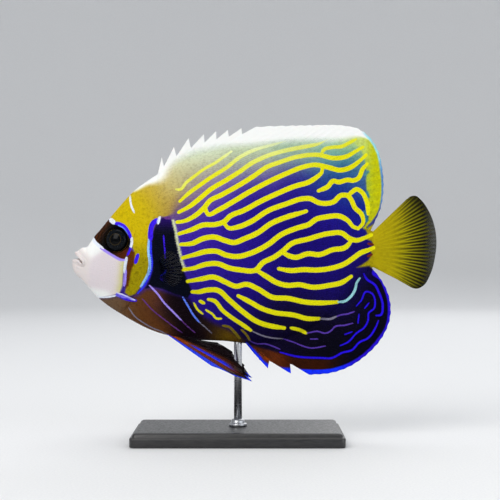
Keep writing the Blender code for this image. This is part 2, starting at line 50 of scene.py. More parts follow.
HALF_WIDTH = 15.0
BACK = [
    (-82.8, -7.0), (-81.2, -1.9), (-80.2, -0.6), (-77.9, 1.1), (-75.2, 1.7), (-73.6, 3.9), (-72.0, 6.4),
    (-69.0, 9.9), (-63.8, 16.2), (-58.0, 23.0), (-52.0, 29.4), (-45.5, 34.3), (-34.0, 41.3),
    (-16.5, 48.2), (3.5, 51.5), (23.5, 49.0), (42.0, 39.5), (50.0, 32.0), (57.0, 22.5), (62.0, 14.5),
    (65.0, 10.4), (67.5, 9.3),
]
BELLY = [
    (-82.8, -7.5), (-82.1, -10.1), (-80.6, -12.4), (-77.9, -14.8), (-73.7, -19.6), (-71.0, -22.7),
    (-67.5, -25.7), (-57.0, -32.7), (-43.0, -40.0), (-26.5, -44.2), (-6.5, -45.4), (8.5, -46.7),
    (28.5, -42.0), (47.0, -30.7), (60.0, -16.2), (64.5, -10.2), (67.5, -8.6),
]
WIDTH = [
    (-82.8, 0.04), (-81.6, 0.17), (-79.0, 0.24), (-75.0, 0.31), (-71.0, 0.4), (-65.0, 0.55),
    (-58.0, 0.69), (-51.0, 0.8), (-43.0, 0.91), (-35.0, 0.975), (-25.0, 1.0), (-13.0, 0.985),
    (1.0, 0.92), (16.0, 0.81), (31.0, 0.67), (43.5, 0.52), (53.5, 0.39), (61.0, 0.28), (67.5, 0.17),
]
WIDEST = [
    (-82.8, -7.2), (-69.0, -7.0), (-54.0, -6.0), (-39.0, -6.0), (-19.0, -4.0), (6.0, -1.0), (31.0, 0.3),
    (67.5, 0.4),
]
RIDGE_SHARPNESS, KEEL_ROUNDNESS = 1.15, 0.92

# Fins, nearly as in the solids
DORSAL_START, SOFT_START, DORSAL_END = -40.2, 20.5, 64.4
DORSAL_SPINES, DORSAL_RAYS = 14, 20
SPINE_ROOT_CROWDING = 1.05
SPINE_TIPS = [
    (-38.1, 46.5), (-32.0, 51.6), (-24.7, 55.9), (-17.0, 57.9), (-10.9, 59.5), (-5.0, 60.0), (1.8, 60.9),
    (9.2, 61.7), (16.2, 62.0), (22.2, 62.2), (27.3, 62.3), (31.8, 62.4), (35.9, 62.5), (39.5, 62.5),
]
# Where the skin behind a spine meets the next one, for the spines with deep notches behind them
DEEP_NOTCHES = [
    (-37.0, 41.6), (-30.7, 46.9), (-23.5, 51.0), (-16.6, 53.8), (-10.7, 55.3), (-4.5, 56.6), (2.2, 57.9),
]
SHALLOW_NOTCH = 0.4
NOTCH_COLUMNS = 7
DORSAL_MARGIN = [
    (39.5, 62.5), (53.5, 62.1), (60.0, 60.7), (65.5, 56.8), (70.0, 49.8), (72.3, 40.0), (72.8, 30.0),
    (71.2, 20.4), (68.6, 14.4), (66.2, 9.4),
]
ANAL_START, ANAL_SOFT_START, ANAL_END = 3.8, 17.5, 64.4
ANAL_RAYS = 20
ANAL_SPINE_ROOTS = [4.6, 9.0, 13.6]
ANAL_SPINY_EDGE = [
    (3.8, 6.4, -49.8), (4.6, 14.9, -59.3), (6.8, 15.6, -55.2), (9.0, 26.5, -61.9), (11.3, 26.0, -56.6),
    (13.6, 35.5, -62.3), (17.5, 36.5, -62.4),
]
ANAL_MARGIN = [
    (36.5, -62.4), (46.0, -61.6), (55.0, -58.7), (64.0, -52.7), (72.0, -43.9), (76.0, -34.5),
    (76.4, -28.0), (74.6, -20.4), (71.0, -13.9), (66.6, -8.6),
]
TAIL_START = 67.5
TAIL_RAYS = 17
TAIL_MARGIN = [
    (84.0, 25.2), (86.6, 26.9), (89.0, 27.0), (91.3, 25.2), (95.0, 20.1), (98.2, 12.0), (99.2, 4.5),
    (98.5, -3.4), (96.3, -11.7), (92.4, -18.0), (89.6, -19.3), (87.0, -18.9), (84.2, -17.1),
]
PECTORAL_ROOT = [(-39.0, -12.6, -5.6), (-37.6, -12.8, -9.6), (-38.0, -12.2, -14.0)]
PECTORAL_TIP = [
    (-33.4, -31.0, -0.4), (-29.8, -36.4, -0.8), (-26.8, -38.6, -5.0), (-25.4, -38.0, -10.2),
    (-26.6, -34.6, -14.8), (-30.4, -28.0, -17.8),
]
PELVIC_ROOT = [(-36.0, -2.2, -41.6), (-31.0, -3.2, -43.0), (-25.5, -3.8, -43.6)]
PELVIC_TIP = [
    (-12.9, -7.4, -57.4), (7.0, -9.8, -63.7), (4.4, -10.0, -59.8), (0.0, -9.6, -54.6),
    (-5.0, -8.4, -49.6), (-10.5, -6.6, -46.6),
]
FIN_ROOT_HALF, FIN_ROOT_ROUNDING = 1.25, 1.6
MEMBRANE_HALF = 0.26
SPINE_SWELL, RAY_SWELL = 0.11, 0.13
SCALLOP = 0.3

# Head forms
GILL_EDGE = [
    (-39.2, 17.2), (-42.6, 13.6), (-43.8, 5.0), (-43.2, -6.0), (-44.4, -12.5), (-48.0, -18.8),
    (-51.8, -22.3), (-55.0, -28.0), (-60.0, -31.0),
]
PREOPERCLE = [(-59.2, -21.8), (-56.6, -20.5), (-56.0, -12.5), (-54.7, -4.0), (-53.0, 2.6), (-50.2, 8.6)]
CHEEK_SPINE = [(-59.8, -21.6), (-54.5, -23.6), (-50.2, -24.8)]
CHEEK_SPINE_LIFTS = (-0.6, 1.5)
CHEEK_SPINE_RADIUS = 1.4
MOUTH_UPPER = [(-86.0, -1.2), (-81.3, -2.1), (-79.4, -3.7), (-77.4, -5.9)]
MOUTH_LOWER = [(-86.0, -4.4), (-80.6, -4.6), (-79.0, -5.2), (-77.4, -6.3)]
MOUTH_CORNER = (-77.4, -6.1)
NOSTRILS = [(-67.6, 5.6), (-66.0, 7.4)]
EYE_CENTRE = (-59.6, 4.8)
EYE_RADIUS, EYE_HALF_DEPTH, EYE_BULGE = 6.1, 3.6, 1.2
EYE_TOE_IN, EYE_TILT_UP = math.radians(13), math.radians(8)
CORNEA_BULGE = 0.30

# Display stand: (inset, height) round the edge of its base, (radius, height) up its foot
BASE_HALF_LENGTH, BASE_HALF_WIDTH, BASE_CORNER = 52, 30, 2.4
BASE_EDGE = [
    (-1.2, 0.0), (-0.4, 0.15), (0.0, 0.6), (0.0, 4.3), (-0.25, 4.75), (-1.1, 4.9), (-1.25, 5.1),
    (-1.3, 5.6), (-1.75, 6.5), (-2.7, 6.95), (-3.6, 7.0), (-12.0, 7.0),
]
FOOT_PROFILE = [
    (0, 7.0), (4.5, 7.0), (4.5, 8.1), (4.3, 8.5), (3.7, 8.7), (3.5, 9.0), (3.5, 9.6), (3.2, 10.2),
    (2.6, 10.7), (2.0, 10.9), (0, 10.9),
]
ROD_RADIUS, ROD_BOTTOM, ROD_IN_BELLY = 2.0, 10.6, 1.6
# Studio floor, which curves up into a wall
FLOOR_RADIUS, WALL_CURVE, WALL_HEIGHT = 1600, 900, 2200

# How finely the skin is made
HEAD_STATIONS, HEAD_CROWDING, HEAD_REAR = 170, 1.25, -30
SPINE_STATIONS, REAR_STEP = 12, 0.42
SIDE_POINTS = 250
TAIL_ROWS, FIN_ROWS = 78, 66
MERGE = 1e-6

# One scale: its sunk root, raised rear lip, rim in the skin and crown; along, across, height
SCALE_SHAPE = np.array([
    (-0.60, 0.0, -0.05), (-0.40, 0.36, -0.05), (-0.40, -0.36, -0.05),
    (0.04, 0.48, 0.015), (0.38, 0.34, 0.045), (0.58, 0.0, 0.06), (0.38, -0.34, 0.045), (0.04, -0.48, 0.015),
    (0.06, 0.53, -0.05), (0.43, 0.38, -0.05), (0.65, 0.0, -0.05), (0.43, -0.38, -0.05), (0.06, -0.53, -0.05),
    (0.0, 0.0, 0.06),
])
SCALE_FACES = np.array([
    (0, 1, 13), (1, 3, 13), (3, 4, 13), (4, 5, 13), (5, 6, 13), (6, 7, 13), (7, 2, 13), (2, 0, 13),
    (3, 8, 9), (3, 9, 4), (4, 9, 10), (4, 10, 5), (5, 10, 11), (5, 11, 6), (6, 11, 12), (6, 12, 7),
])
SCALE_LONG, SCALE_WIDE = 1.42, 1.02
# Distance between scales along and across the fish, in millimetres, at some places along it
PITCH_PLACES = [-80, -60, -44, -36, 40, 67]
BODY_PITCH = [0.8, 0.85, 0.95, 1.3, 1.25, 0.95], [0.75, 0.8, 0.9, 1.2, 1.15, 0.9]
FIN_PITCH = [1.0] * 6, [0.9] * 6
SCALED_SHARE_OF_FIN = 0.7
SCALE_SEED, SCALE_JITTER = 7, 0.22
# The scales' map: each scale's patch, the room for one sheet, and the step to the right side's half
PATCH, SHEET_ROOM, RIGHT_HALF = 0.0026, (0.46, 0.62), 0.5

# The markings below are places in the photograph, in its pixels
PIXEL_MM = 0.5
AXIS_PIXEL = (238, 250)

# Yellow stripes: width in pixels, then the line they follow from front to rear
STRIPES = {
    "back_1": (3.4, [
        (177, 190), (181, 190.5), (187, 183.6), (195.5, 176.8), (204.5, 170), (215.5, 163.6),
        (225.5, 156.4), (231.8, 151.8),
    ]),
    "back_2": (4.2, [
        (180.9, 202.3), (189, 194.8), (199, 187.3), (211.8, 178.2), (225.5, 169.5), (240.9, 157.3),
        (256.4, 149.5), (275.5, 144), (286, 141),
    ]),
    "back_3": (4.8, [
        (180, 213), (191.4, 206.8), (200.5, 199.5), (211.8, 190), (225.5, 181.8), (239.5, 172.8),
        (252.7, 163.4), (266.4, 156.8), (284.5, 150.9), (302.7, 147.1), (319.5, 143.2), (328, 139.5),
    ]),
    "back_4": (4.9, [
        (178.6, 222.7), (185, 221.8), (196.8, 215.9), (205, 208.6), (210.5, 201.8), (221.4, 196.2),
        (239.5, 186), (254.5, 176.4), (266.4, 168), (280, 162.7), (298.2, 156.8), (318.2, 155),
        (333.6, 158.2), (345.5, 156.8), (356.4, 150.9), (363, 147),
    ]),
    "back_4_branch": (4.2, [
        (320.9, 154), (324.5, 149.3), (331, 147.5), (341.8, 146.4), (350.9, 141.8), (356, 139),
    ]),
    "back_5": (5.0, [
        (206.3, 209), (208.6, 215), (219.5, 210.5), (232.3, 203.2), (248.2, 193.6), (268.2, 182.7),
        (289.1, 172.9), (302.7, 167.5), (314.5, 165), (329, 167.7), (340, 170.3), (350.9, 167.3),
        (359.1, 161.4), (366, 155),
    ]),
    "lobe_1": (4.8, [
        (317.8, 191.4), (327.3, 187), (333, 181.2), (338.2, 182.2), (347.3, 180), (353.6, 180.5),
        (358.5, 178), (360.5, 174.5), (361.8, 170.5), (367, 164),
    ]),
    "flank_1": (5.0, [
        (180.5, 234.1), (193.2, 230), (204.1, 225.5), (215.9, 225), (224.5, 222.3), (230.5, 216.8),
        (243.2, 211.4), (261.4, 201.6), (277.3, 194.1), (295.5, 186.6), (308.2, 182.7), (317.3, 176.8),
        (321.3, 173), (322.3, 168.5),
    ]),
    "flank_2": (5.0, [
        (224.5, 223.5), (228.6, 228.3), (238.6, 227.3), (250.5, 222.4), (267.7, 211.4), (285.9, 204.5),
        (303.2, 199.2), (309.5, 199.2), (317.7, 203.1), (332.7, 202.3), (341, 195.5), (347.5, 195.8),
        (351, 200), (354.5, 207.7), (361.5, 214.5), (362.7, 223.2), (359.5, 227),
    ]),
    "lobe_2": (4.6, [
        (347.5, 195.8), (352, 192), (356.4, 189.3), (361.5, 192), (366, 200), (367.7, 206.8), (368, 214),
    ]),
    "flank_3": (5.1, [
        (182.3, 244.6), (193.2, 243.6), (204.1, 238.8), (215, 237.3), (225, 240.5), (234.1, 242.7),
        (245, 238.8), (256.8, 233.6), (271.4, 223.6), (283.2, 218.6), (300.5, 213.2), (305.5, 211.7),
    ]),
    "flank_4": (5.1, [
        (184.1, 257.7), (195.9, 254.5), (207.7, 251.4), (217, 251.2), (226.8, 255), (237.7, 256.4),
        (250.5, 253.2), (267.7, 244.6), (280.5, 235), (296.8, 228.2), (308.6, 224.5), (315, 219.7),
        (324.1, 217.5), (340, 216.8), (347.3, 220.9), (352.7, 227), (357.5, 228.6),
    ]),
    "flank_5": (5.0, [
        (184.5, 269.1), (195, 267.7), (205.9, 264.2), (219.5, 263.6), (228.6, 267.3), (240.5, 269.5),
        (255.9, 269.5), (262.3, 262.7), (274.1, 256.8), (284.1, 249.5), (289.5, 244.6), (307.7, 239.1),
        (328.6, 233.6), (340.9, 233.2), (348.5, 238.4), (355, 240.4), (364.5, 237.7), (371, 235),
    ]),
    "flank_5_loop": (5.0, [
        (281.5, 251.8), (287.7, 255.5), (294, 257.2), (307.7, 253.6), (318, 254.6), (331.8, 249.7),
        (344.5, 247.3), (348.8, 243), (350.5, 240),
    ]),
    "flank_6": (5.0, [
        (278.3, 268.4), (290, 270.2), (303, 269.3), (315, 269.8), (330.9, 267.9), (343.6, 263.8),
        (352.7, 257.9), (360, 252.8), (367.3, 250.2), (373, 247.8),
    ]),
    "low_1": (5.0, [
        (255.9, 269.5), (266.8, 276.4), (277, 282.4), (286.8, 284.8), (299, 284.2), (311, 286.7),
        (328.6, 285), (341.1, 282.2), (350.5, 276.3),
    ]),
    "low_2": (5.0, [
        (189, 280.6), (203, 278.2), (213.5, 276.4), (226.8, 281.8), (235.9, 285.6), (246.8, 283.6),
        (256.8, 287.7), (272.3, 296.6), (287, 297.6), (305, 301.5), (322, 302.4), (337, 301.8),
    ]),
    "low_3": (5.0, [
        (193.5, 291), (200, 291), (207.7, 289.2), (219, 289.7), (228.6, 298.2), (241.4, 309.5),
        (258.6, 321.4), (275, 326), (284, 327.2),
    ]),
    "low_3_end": (3.6, [(290.5, 327.2), (300.5, 330), (306, 333)]),
    "low_4": (4.8, [
        (238.5, 295), (250, 301), (261.4, 307.5), (273.2, 311.5), (294.1, 314.5), (306.8, 318.1),
        (319, 318.3),
    ]),
    "low_5": (4.0, [
        (209, 298.4), (214.5, 299.6), (223.2, 309.5), (232.3, 316.8), (243.2, 324.1), (251, 329.6),
    ]),
    "spot_1": (3.4, [(200.7, 300), (205, 302.2)]),
    "breast_1": (2.0, [(194.8, 301.6), (198.6, 308.6), (203.8, 313)]),
    "breast_2": (2.2, [(206.6, 308.8), (213.2, 313.2), (217, 317.4), (221.8, 317.6)]),
}
# Paler, browner stripes of the breast
DIM_STRIPES = {
    "breast_3": (2.6, [(223, 324.6), (229.5, 326), (234.5, 331), (240, 338)]),
    "breast_4": (2.2, [(241.4, 328.6), (246.8, 334.4), (249.8, 339.6)]),
}

# Blue and white lines: width in pixels, paint, and the line
LINES = {
    "brow_front": (3.2, "line_white", [(93, 237.6), (95.4, 241.6), (100, 245.6), (104.6, 249)]),
    "mask_top_white": (4.4, "line_white", [(110.9, 219.5), (115.5, 223.2)]),
    "mask_top": (3.2, "line_violet", [
        (116, 223.4), (120.5, 224), (125, 226), (128.8, 230), (131.2, 234.2), (132.9, 237.8),
    ]),
    "mask_top_bright": (1.6, "line_azure", [(119.7, 225.4), (124.5, 227.5), (128, 231.3), (130, 235)]),
    "mask_rear_white": (2.5, "line_white", [(133.9, 238), (133.8, 243), (132.6, 247.6)]),
    "mask_rear_violet": (2.0, "line_violet", [(132.8, 247), (131.4, 251.4), (129.6, 254.8)]),
    "cheek_rear_white": (2.8, "line_white", [(128.8, 257.5), (127.3, 264.5), (126.6, 272)]),
    "cheek_rear_violet": (2.8, "line_lilac", [(127.6, 270), (127, 277.5), (126.2, 285)]),
    "mask_low": (2.6, "line_lilac", [
        (93.7, 239.2), (98, 244), (104, 249), (110, 252.8), (116.6, 256.6), (122, 259.4), (127, 260),
    ]),
    "jaw_line": (1.6, "line_white", [(100, 297), (108, 296.8), (118, 295)]),
    "cheek_patch": (3.6, "line_violet", [(140, 254.8), (138.8, 258.5), (137.6, 262.5)]),
    "nape_streak": (2.0, "line_white", [(130.4, 196), (132.7, 206.8), (135.8, 213)]),
    "gill_cap": (2.6, "line_white", [(161.4, 217.2), (159.8, 224)]),
    "gill_top": (4.8, "line_violet", [(158, 220.4), (154, 225), (152.6, 231), (152.4, 240)]),
    "gill_white": (2.4, "line_pale", [
        (150.9, 240), (150.6, 252), (151.9, 263.3), (150.6, 271.8), (146.6, 280), (142.8, 286),
    ]),
    "gill_blue": (2.0, "line_blue", [
        (152.8, 240), (152.9, 252), (153.9, 264), (152.6, 272), (148.6, 280.8), (144.4, 287),
        (139.6, 292.5),
    ]),
    "cheek_spine_line": (3.2, "line_violet", [(119.6, 294.4), (128, 298.2), (137.5, 299.8)]),
    "bar_streak": (1.5, "line_violet", [(165.3, 235.4), (166.3, 246), (167.2, 258.8)]),
    "bar_low": (1.6, "line_blue", [(162.8, 275), (165.6, 273.4), (167.6, 270.2)]),
    # A painted shade line in the fold at the corner of the mouth
    "mouth_fold_shade": (0.9, "mouth_fold_shade", [(80.8, 260.6), (83.6, 263.4)]),
    "bar_cap": (3.0, "line_mauve", [(166.5, 218.4), (171.5, 218.6)]),
    "breast_a": (1.3, "line_grey", [
        (130, 307), (136, 316), (144, 322), (153.5, 327.6), (162, 331), (169.5, 336),
    ]),
    "breast_b": (1.2, "line_mauve", [(144, 298), (154.5, 309.5), (165, 318), (175, 326), (183, 332)]),
    "breast_c": (1.8, "line_lilac", [
        (151.3, 284.6), (159, 292.6), (166, 302), (175, 311.4), (182.3, 319.1),
    ]),
    "breast_c_low": (1.2, "line_mauve", [(181.4, 318.1), (189, 326), (196, 332)]),
    "breast_d": (1.8, "line_azure", [(184.1, 296.2), (189.5, 305.4), (194.1, 313.6), (200, 321.2)]),
    "breast_d_low": (1.2, "line_grey", [(199.4, 320.4), (206, 326.4), (212.3, 332.3)]),
    "low_5_tail": (1.5, "line_grey", [(252, 330.2), (261, 334.4), (276.8, 338), (283, 338.4)]),
    "low_5_anal": (1.3, "line_lavender", [
        (283, 338.4), (294.1, 342.3), (303, 346), (310, 347.8), (325.6, 345.9),
    ]),
    "vent": (1.4, "line_lavender", [(249.8, 340), (255, 342.9), (265.9, 343.8), (280, 349)]),
    "low_3_violet": (1.5, "line_lavender", [
        (306.8, 333), (317.7, 331.2), (325, 333.1), (330.5, 331), (335, 326.4), (344.4, 325.2),
        (352.8, 323),
    ]),
    "low_4_white": (2.2, "line_grey", [(320, 318.4), (331, 318.6), (336, 316.4)]),
    "low_4_violet": (1.5, "line_lavender", [(335.4, 316.8), (340, 315), (347.8, 313.7), (354.4, 311.4)]),
    "low_2_white": (2.6, "line_cyan", [
        (338, 301.8), (344.4, 301.1), (350.5, 296.6), (355, 288.9), (356.3, 282.8), (359.4, 278),
    ]),
    "anal_1": (1.9, "line_deep", [
        (280, 352), (295, 356), (321, 357.8), (331.1, 358), (343.3, 352.2), (351.1, 350.4), (360, 341.7),
        (366.7, 338.9), (375.6, 327.2), (378.3, 320.6),
    ]),
    "anal_2": (1.7, "line_deep", [
        (340, 345.6), (348.3, 341.7), (356.1, 333.3), (364.4, 327.2), (368, 320), (368.5, 313),
        (373.9, 308.3), (375, 302.8), (371.7, 293.3), (366, 291.6), (361, 300.5), (356.1, 306.1),
    ]),
    "anal_3": (2.2, "line_deep", [
        (363.3, 273.6), (366.7, 279.2), (374.5, 284.6), (379, 293), (382.6, 306), (380.5, 315),
        (375.8, 315.4),
    ]),
    "anal_4": (1.4, "line_deep", [(364.4, 308.3), (368.9, 302.8)]),
    "anal_5": (1.4, "line_deep", [(358.9, 313.9), (357.8, 323.3)]),
    "anal_6": (1.3, "line_deep", [(344.4, 334.4), (352.2, 331.7)]),
    "stalk_rust_1": (2.6, "stalk_rust", [(367.5, 243.6), (372.5, 244.6)]),
    "stalk_rust_2": (2.4, "stalk_rust", [(367, 256.4), (371.5, 254.4)]),
    "anal_8": (1.2, "line_lavender", [(310, 338.9), (318, 338.9)]),
}

# Colours as seen, red, green and blue from 0 to 255
PAINT = {
    "white": (236, 237, 235), "face": (214, 204, 208), "face_yellow": (196, 190, 112),
    # The mouth paint is painted shade inside the open mouth
    "lip": (214, 206, 204), "mouth": (52, 22, 20), "mask_brown": (74, 36, 12), "mask_black": (3, 4, 6),
    "mask_rust": (78, 32, 8), "strip_brown": (92, 46, 8), "nape": (196, 172, 4),
    "nape_gold": (186, 160, 62), "nape_dull": (150, 122, 72), "opercle": (150, 136, 4),
    # The bar's violet paint is a painted sheen on the top of the dark bar behind the gill cover
    "bar": (3, 6, 22), "bar_violet_sheen": (34, 10, 92), "bar_edge": (206, 212, 168), "cream": (206, 196, 130),
    "breast_dark": (14, 4, 11), "breast_rust": (92, 54, 22), "breast_mauve": (78, 42, 44),
    "breast_gold": (122, 94, 8), "breast_orange": (108, 62, 24), "violet": (34, 16, 128),
    "violet_deep": (22, 8, 104), "violet_light": (90, 56, 190), "violet_mid": (58, 34, 160),
    "olive_grey": (166, 164, 112), "lavender": (128, 112, 168), "grey_green": (150, 180, 150),
    "teal": (40, 110, 140), "teal_pale": (112, 174, 160), "blue_rear": (14, 30, 134),
    "yellow": (222, 216, 10), "yellow_pale": (216, 224, 168), "yellow_dim": (112, 96, 18),
    "lobe": (190, 192, 8), "rim_cyan": (150, 214, 226), "rim_blue": (88, 134, 190),
    "rim_low": (54, 60, 130), "anal_dark": (12, 5, 42), "anal_black": (3, 2, 16),
    "anal_brown": (48, 17, 3), "anal_orange": (142, 60, 8), "anal_rim": (18, 46, 250),
    "anal_rim_rear": (36, 14, 200), "tail_base": (170, 154, 10), "tail": (158, 150, 12),
    "tail_outer": (70, 70, 14), "tail_edge": (24, 27, 16), "tail_gap": (18, 16, 8),
    "line_white": (222, 228, 240), "line_pale": (150, 200, 250), "line_azure": (96, 130, 250),
    "line_blue": (44, 50, 236), "line_violet": (58, 26, 226), "line_deep": (36, 14, 214),
    "line_lilac": (160, 138, 236), "line_lavender": (84, 56, 160), "line_mauve": (96, 52, 128),
    "haze_mint": (208, 224, 210), "haze_cream": (198, 196, 142), "haze_sage": (190, 206, 168),
    "haze_olive": (164, 172, 134), "haze_amber": (184, 164, 106), "haze_yellow": (200, 214, 110),
    # The mouth fold's paint is painted shade in the fold at the corner of the mouth
    "breast_tan": (104, 80, 58), "breast_dim": (38, 22, 18), "mouth_fold_shade": (112, 92, 80),
    "line_grey": (122, 118, 136), "stalk_rust": (104, 34, 26), "line_cyan": (150, 208, 214),
}

# Zones of colour, as outlines in photograph pixels
FACE = [
    (60, 236), (94, 238), (97, 243), (104, 249), (110, 252.6), (116.6, 256.4), (122, 259.2),
    (127.2, 260), (126, 266), (125, 275), (124.4, 285), (121.5, 292.5), (112, 295.4), (104, 296.6),
    (98, 299), (60, 302),
]
MASK = [
    (88, 240), (94, 226), (104, 214), (110.9, 219.6), (115.5, 223.6), (121, 225), (125.5, 227.6),
    (129, 231.4), (132.2, 238), (132.6, 243.5), (130.4, 250), (128.4, 256), (127, 260), (121, 259),
    (113, 254.8), (105, 249.8), (98, 244.6), (93.7, 238.6),
]
CHEEK_STRIP = [
    (130.6, 252.6), (133.4, 250), (137, 252.6), (136.4, 262.6), (133.4, 270), (130.4, 285),
    (127.6, 288.4), (127.6, 276), (128.6, 264), (129.4, 256),
]
NAPE = [
    (108, 214), (118, 196), (138, 178), (157, 160), (168, 172), (182, 186), (178, 204), (174, 214),
    (168, 217.5), (161, 216.5), (157.5, 221), (151.6, 226), (150.4, 240), (150, 252.5), (152, 263.4),
    (150.8, 271.6), (147, 279.8), (143, 286), (137, 293.6), (131, 295.6), (126.6, 292), (128.4, 284),
    (131.4, 270), (134.6, 262.6), (136.2, 252), (134.2, 246), (134.6, 238.6), (131.6, 231),
    (126.8, 225.4), (121, 222.6), (115.4, 221.6),
]
BAR = [
    (159.6, 221.6), (163.4, 218.4), (170, 217.6), (173.6, 221.2), (175.8, 229), (178, 243), (181, 256),
    (183.4, 265), (187.6, 277), (190.7, 284), (193, 291), (189, 297), (176, 293), (164, 288), (154, 286),
    (147, 288), (151.4, 280), (154.4, 271), (154.6, 262), (153.4, 250), (154, 238), (156.2, 228),
]
BAR_EDGE = (2.6, [(174.6, 221), (176.8, 229), (179, 242), (181.6, 253), (184, 262.6), (186.6, 270)])
BREAST = [
    (102, 297.6), (118, 295.6), (130, 298.4), (140, 294), (148, 288), (158, 288), (176, 293), (190, 298),
    (200, 312), (214, 322), (226, 327), (236, 333), (246, 341), (250, 352), (94, 352), (96, 299),
]
LOBE = [
    (351, 139), (357, 146), (362, 152), (364.6, 160), (365.6, 166), (366.6, 173), (365.8, 180),
    (366.4, 190), (367.8, 199), (369, 206), (369, 214), (367, 222), (362, 228.6), (372, 232), (392, 224),
    (392, 120), (362, 132),
]
LOBE_PATCHES = [
    (2.6, [(364.8, 175), (368, 171.6)]), (3.4, [(366.6, 192.6), (367.8, 196.4)]),
    (5.2, [(364.6, 213), (365.6, 220)]),
]
TAIL_BASE = [
    (365.2, 229), (366.8, 234), (364, 238.6), (370.8, 241), (373, 245.6), (369, 249.6), (371.4, 254),
    (368, 260), (361, 264.8), (356, 267.4), (369, 266), (460, 330), (460, 170), (374, 224),
]
ANAL_BAND = [
    (246, 343), (262, 348), (280, 353), (295, 357), (321, 359.5), (338, 356.5), (345, 353), (352, 352),
    (348, 361), (338, 367), (320, 371), (300, 371.5), (280, 368), (264, 363), (252, 352),
]
DORSAL_EDGE = [
    (112, 217), (120, 206), (132, 193), (144, 183), (155, 176.5), (159, 165), (163, 157.5), (174, 147),
    (188.5, 138), (204, 133.6), (217, 130.6), (229, 129.6), (242, 128), (264, 126), (300, 125),
    (345, 125.8), (359.3, 128.4), (369.4, 136.6), (378.3, 150.6), (382.7, 170.8), (384, 186),
    (383.4, 198.7), (380.8, 211.4), (375.8, 220.3), (369, 228),
]
ANAL_EDGE = [
    (246, 344), (252, 351), (267.7, 368.4), (291, 373.7), (309, 374.6), (320, 374.6), (332, 373.4),
    (348, 368.2), (364, 358.6), (380, 342), (389.5, 326), (391.6, 312), (390.6, 298), (387.5, 288),
    (381, 276), (376, 272.6),
]
# How far the white of the dorsal edge reaches in, and over what depth it fades, by photograph x
EDGE_WHITE = [
    (112, -2.0), (130, -2.0), (136, 0.2), (142, 1.2), (150, 2.0), (158, 3.5), (166, 6), (180, 8),
    (200, 10), (230, 11), (250, 12), (300, 10), (345, 9), (358, 6), (366, 3), (373, 0.8), (380, 0.0),
    (384, 0.0),
]
EDGE_FADE = [
    (112, 1.5), (130, 1.5), (140, 4), (152, 6), (160, 8), (174, 10), (200, 11), (250, 12), (300, 12),
    (338, 11), (352, 7), (362, 2.6), (384, 1.0),
]
# How deep the pale haze under the dorsal edge reaches, by photograph x
HAZE_REACH = [
    (150, 30), (164, 52), (180, 56), (210, 60), (250, 65), (290, 62), (330, 52), (350, 42), (366, 26),
    (376, 12),
]

# Paints spread from these places over each part, in photograph pixels
BODY_SPOTS = {
    "nape_dull": [(177, 197), (186, 184)],
    "cream": [(188, 172)],
    "olive_grey": [(204, 168)],
    "lavender": [(200, 186), (216, 174), (232, 166), (262, 160)],
    "violet_mid": [(192, 208), (198, 236), (206, 246), (200, 262)],
    "grey_green": [(208, 156), (226, 150), (250, 146), (276, 143), (306, 139), (322, 142)],
    "violet": [
        (290, 164), (304, 178), (250, 190), (232, 212), (333, 212), (222, 240), (222, 262), (260, 228),
        (240, 262), (212, 284),
    ],
    "teal_pale": [(337, 150)],
    "teal": [(352, 160), (342, 172), (318, 159)],
    "blue_rear": [(350, 186), (360, 200), (346, 190), (356, 186)],
    "violet_light": [(216, 198)],
    "violet_deep": [(285, 235), (320, 242), (350, 262), (300, 278), (240, 298), (336, 294)],
    "anal_dark": [(300, 308), (268, 334), (286, 346)],
    "anal_black": [(330, 330), (366, 300), (362, 334), (300, 350), (320, 362), (390, 290)],
}
HAZE_SPOTS = {
    "haze_mint": [(172, 160), (192, 150), (212, 146)],
    "haze_cream": [(174, 174), (194, 170), (214, 164)],
    "haze_amber": [(164, 178), (178, 186)],
    "haze_sage": [(240, 146), (262, 146), (300, 138), (330, 138)],
    "haze_olive": [(234, 164), (258, 162), (196, 188)],
    "grey_green": [(286, 150), (306, 148)],
    "teal_pale": [(330, 152), (350, 160)],
    "haze_yellow": [(350, 142), (362, 146)],
}
BREAST_SPOTS = {
    "breast_tan": [(106, 301), (116, 304), (128, 309)],
    "breast_rust": [(138, 306), (134, 314), (146, 312), (150, 322), (150, 297)],
    "breast_mauve": [(158, 302)],
    "breast_orange": [(158, 327), (167, 334)],
    "breast_dim": [(166, 315), (208, 320), (214, 328), (222, 327), (240, 341), (234, 326), (248, 344)],
    "breast_dark": [
        (176, 307), (186, 312), (192, 322), (200, 329), (180, 326), (176, 299), (190, 304), (186, 333),
    ],
    "breast_gold": [(231, 334), (224, 334), (236, 337)],
}
NAPE_SPOTS = {
    "nape": [(128, 210), (140, 206), (146, 236), (128, 222), (148, 212)],
    "nape_gold": [(158, 186), (150, 184), (172, 188), (160, 204)],
    "nape_dull": [(172, 208)],
    "opercle": [(145, 262), (136, 284)],
}
FACE_SPOTS = {
    "face": [(100, 262), (108, 285), (114, 268), (117, 280), (116, 292), (119, 264)],
    "white": [(92, 250), (106, 296)],
    "lip": [(84, 258)],
    "face_yellow": [(127, 266), (126, 280), (124, 291)],
}
MASK_SPOTS = {
    "mask_brown": [(100, 233), (105, 223), (97, 238)],
    "mask_black": [(113, 230), (122, 229), (131, 240), (116, 250), (108, 246), (106, 238)],
    "mask_rust": [(125, 255), (119, 256)],
}
TAIL_SPOTS = {
    "tail_base": [(372, 246), (386, 240), (380, 262), (384, 226)],
    "tail": [(408, 232), (408, 256)],
    "tail_outer": [(428, 222), (428, 262)],
    "tail_edge": [(437, 246)],
}


def curve_through(points):
    """A smooth function of x through (x, value) points, held level beyond both ends."""
    xs, values = np.array(points, float).T
    slopes = np.gradient(values, xs)

    def at(x):
        x = np.clip(x, xs[0], xs[-1])
        i = np.clip(np.searchsorted(xs, x) - 1, 0, len(xs) - 2)
        step = xs[i + 1] - xs[i]
        t = (x - xs[i]) / step
        rise = values[i + 1] - values[i]
        leaving = slopes[i] * step - rise
        arriving = rise - slopes[i + 1] * step
        return values[i] + t * rise + t * (1 - t) * ((1 - t) * leaving + t * arriving)

    return at


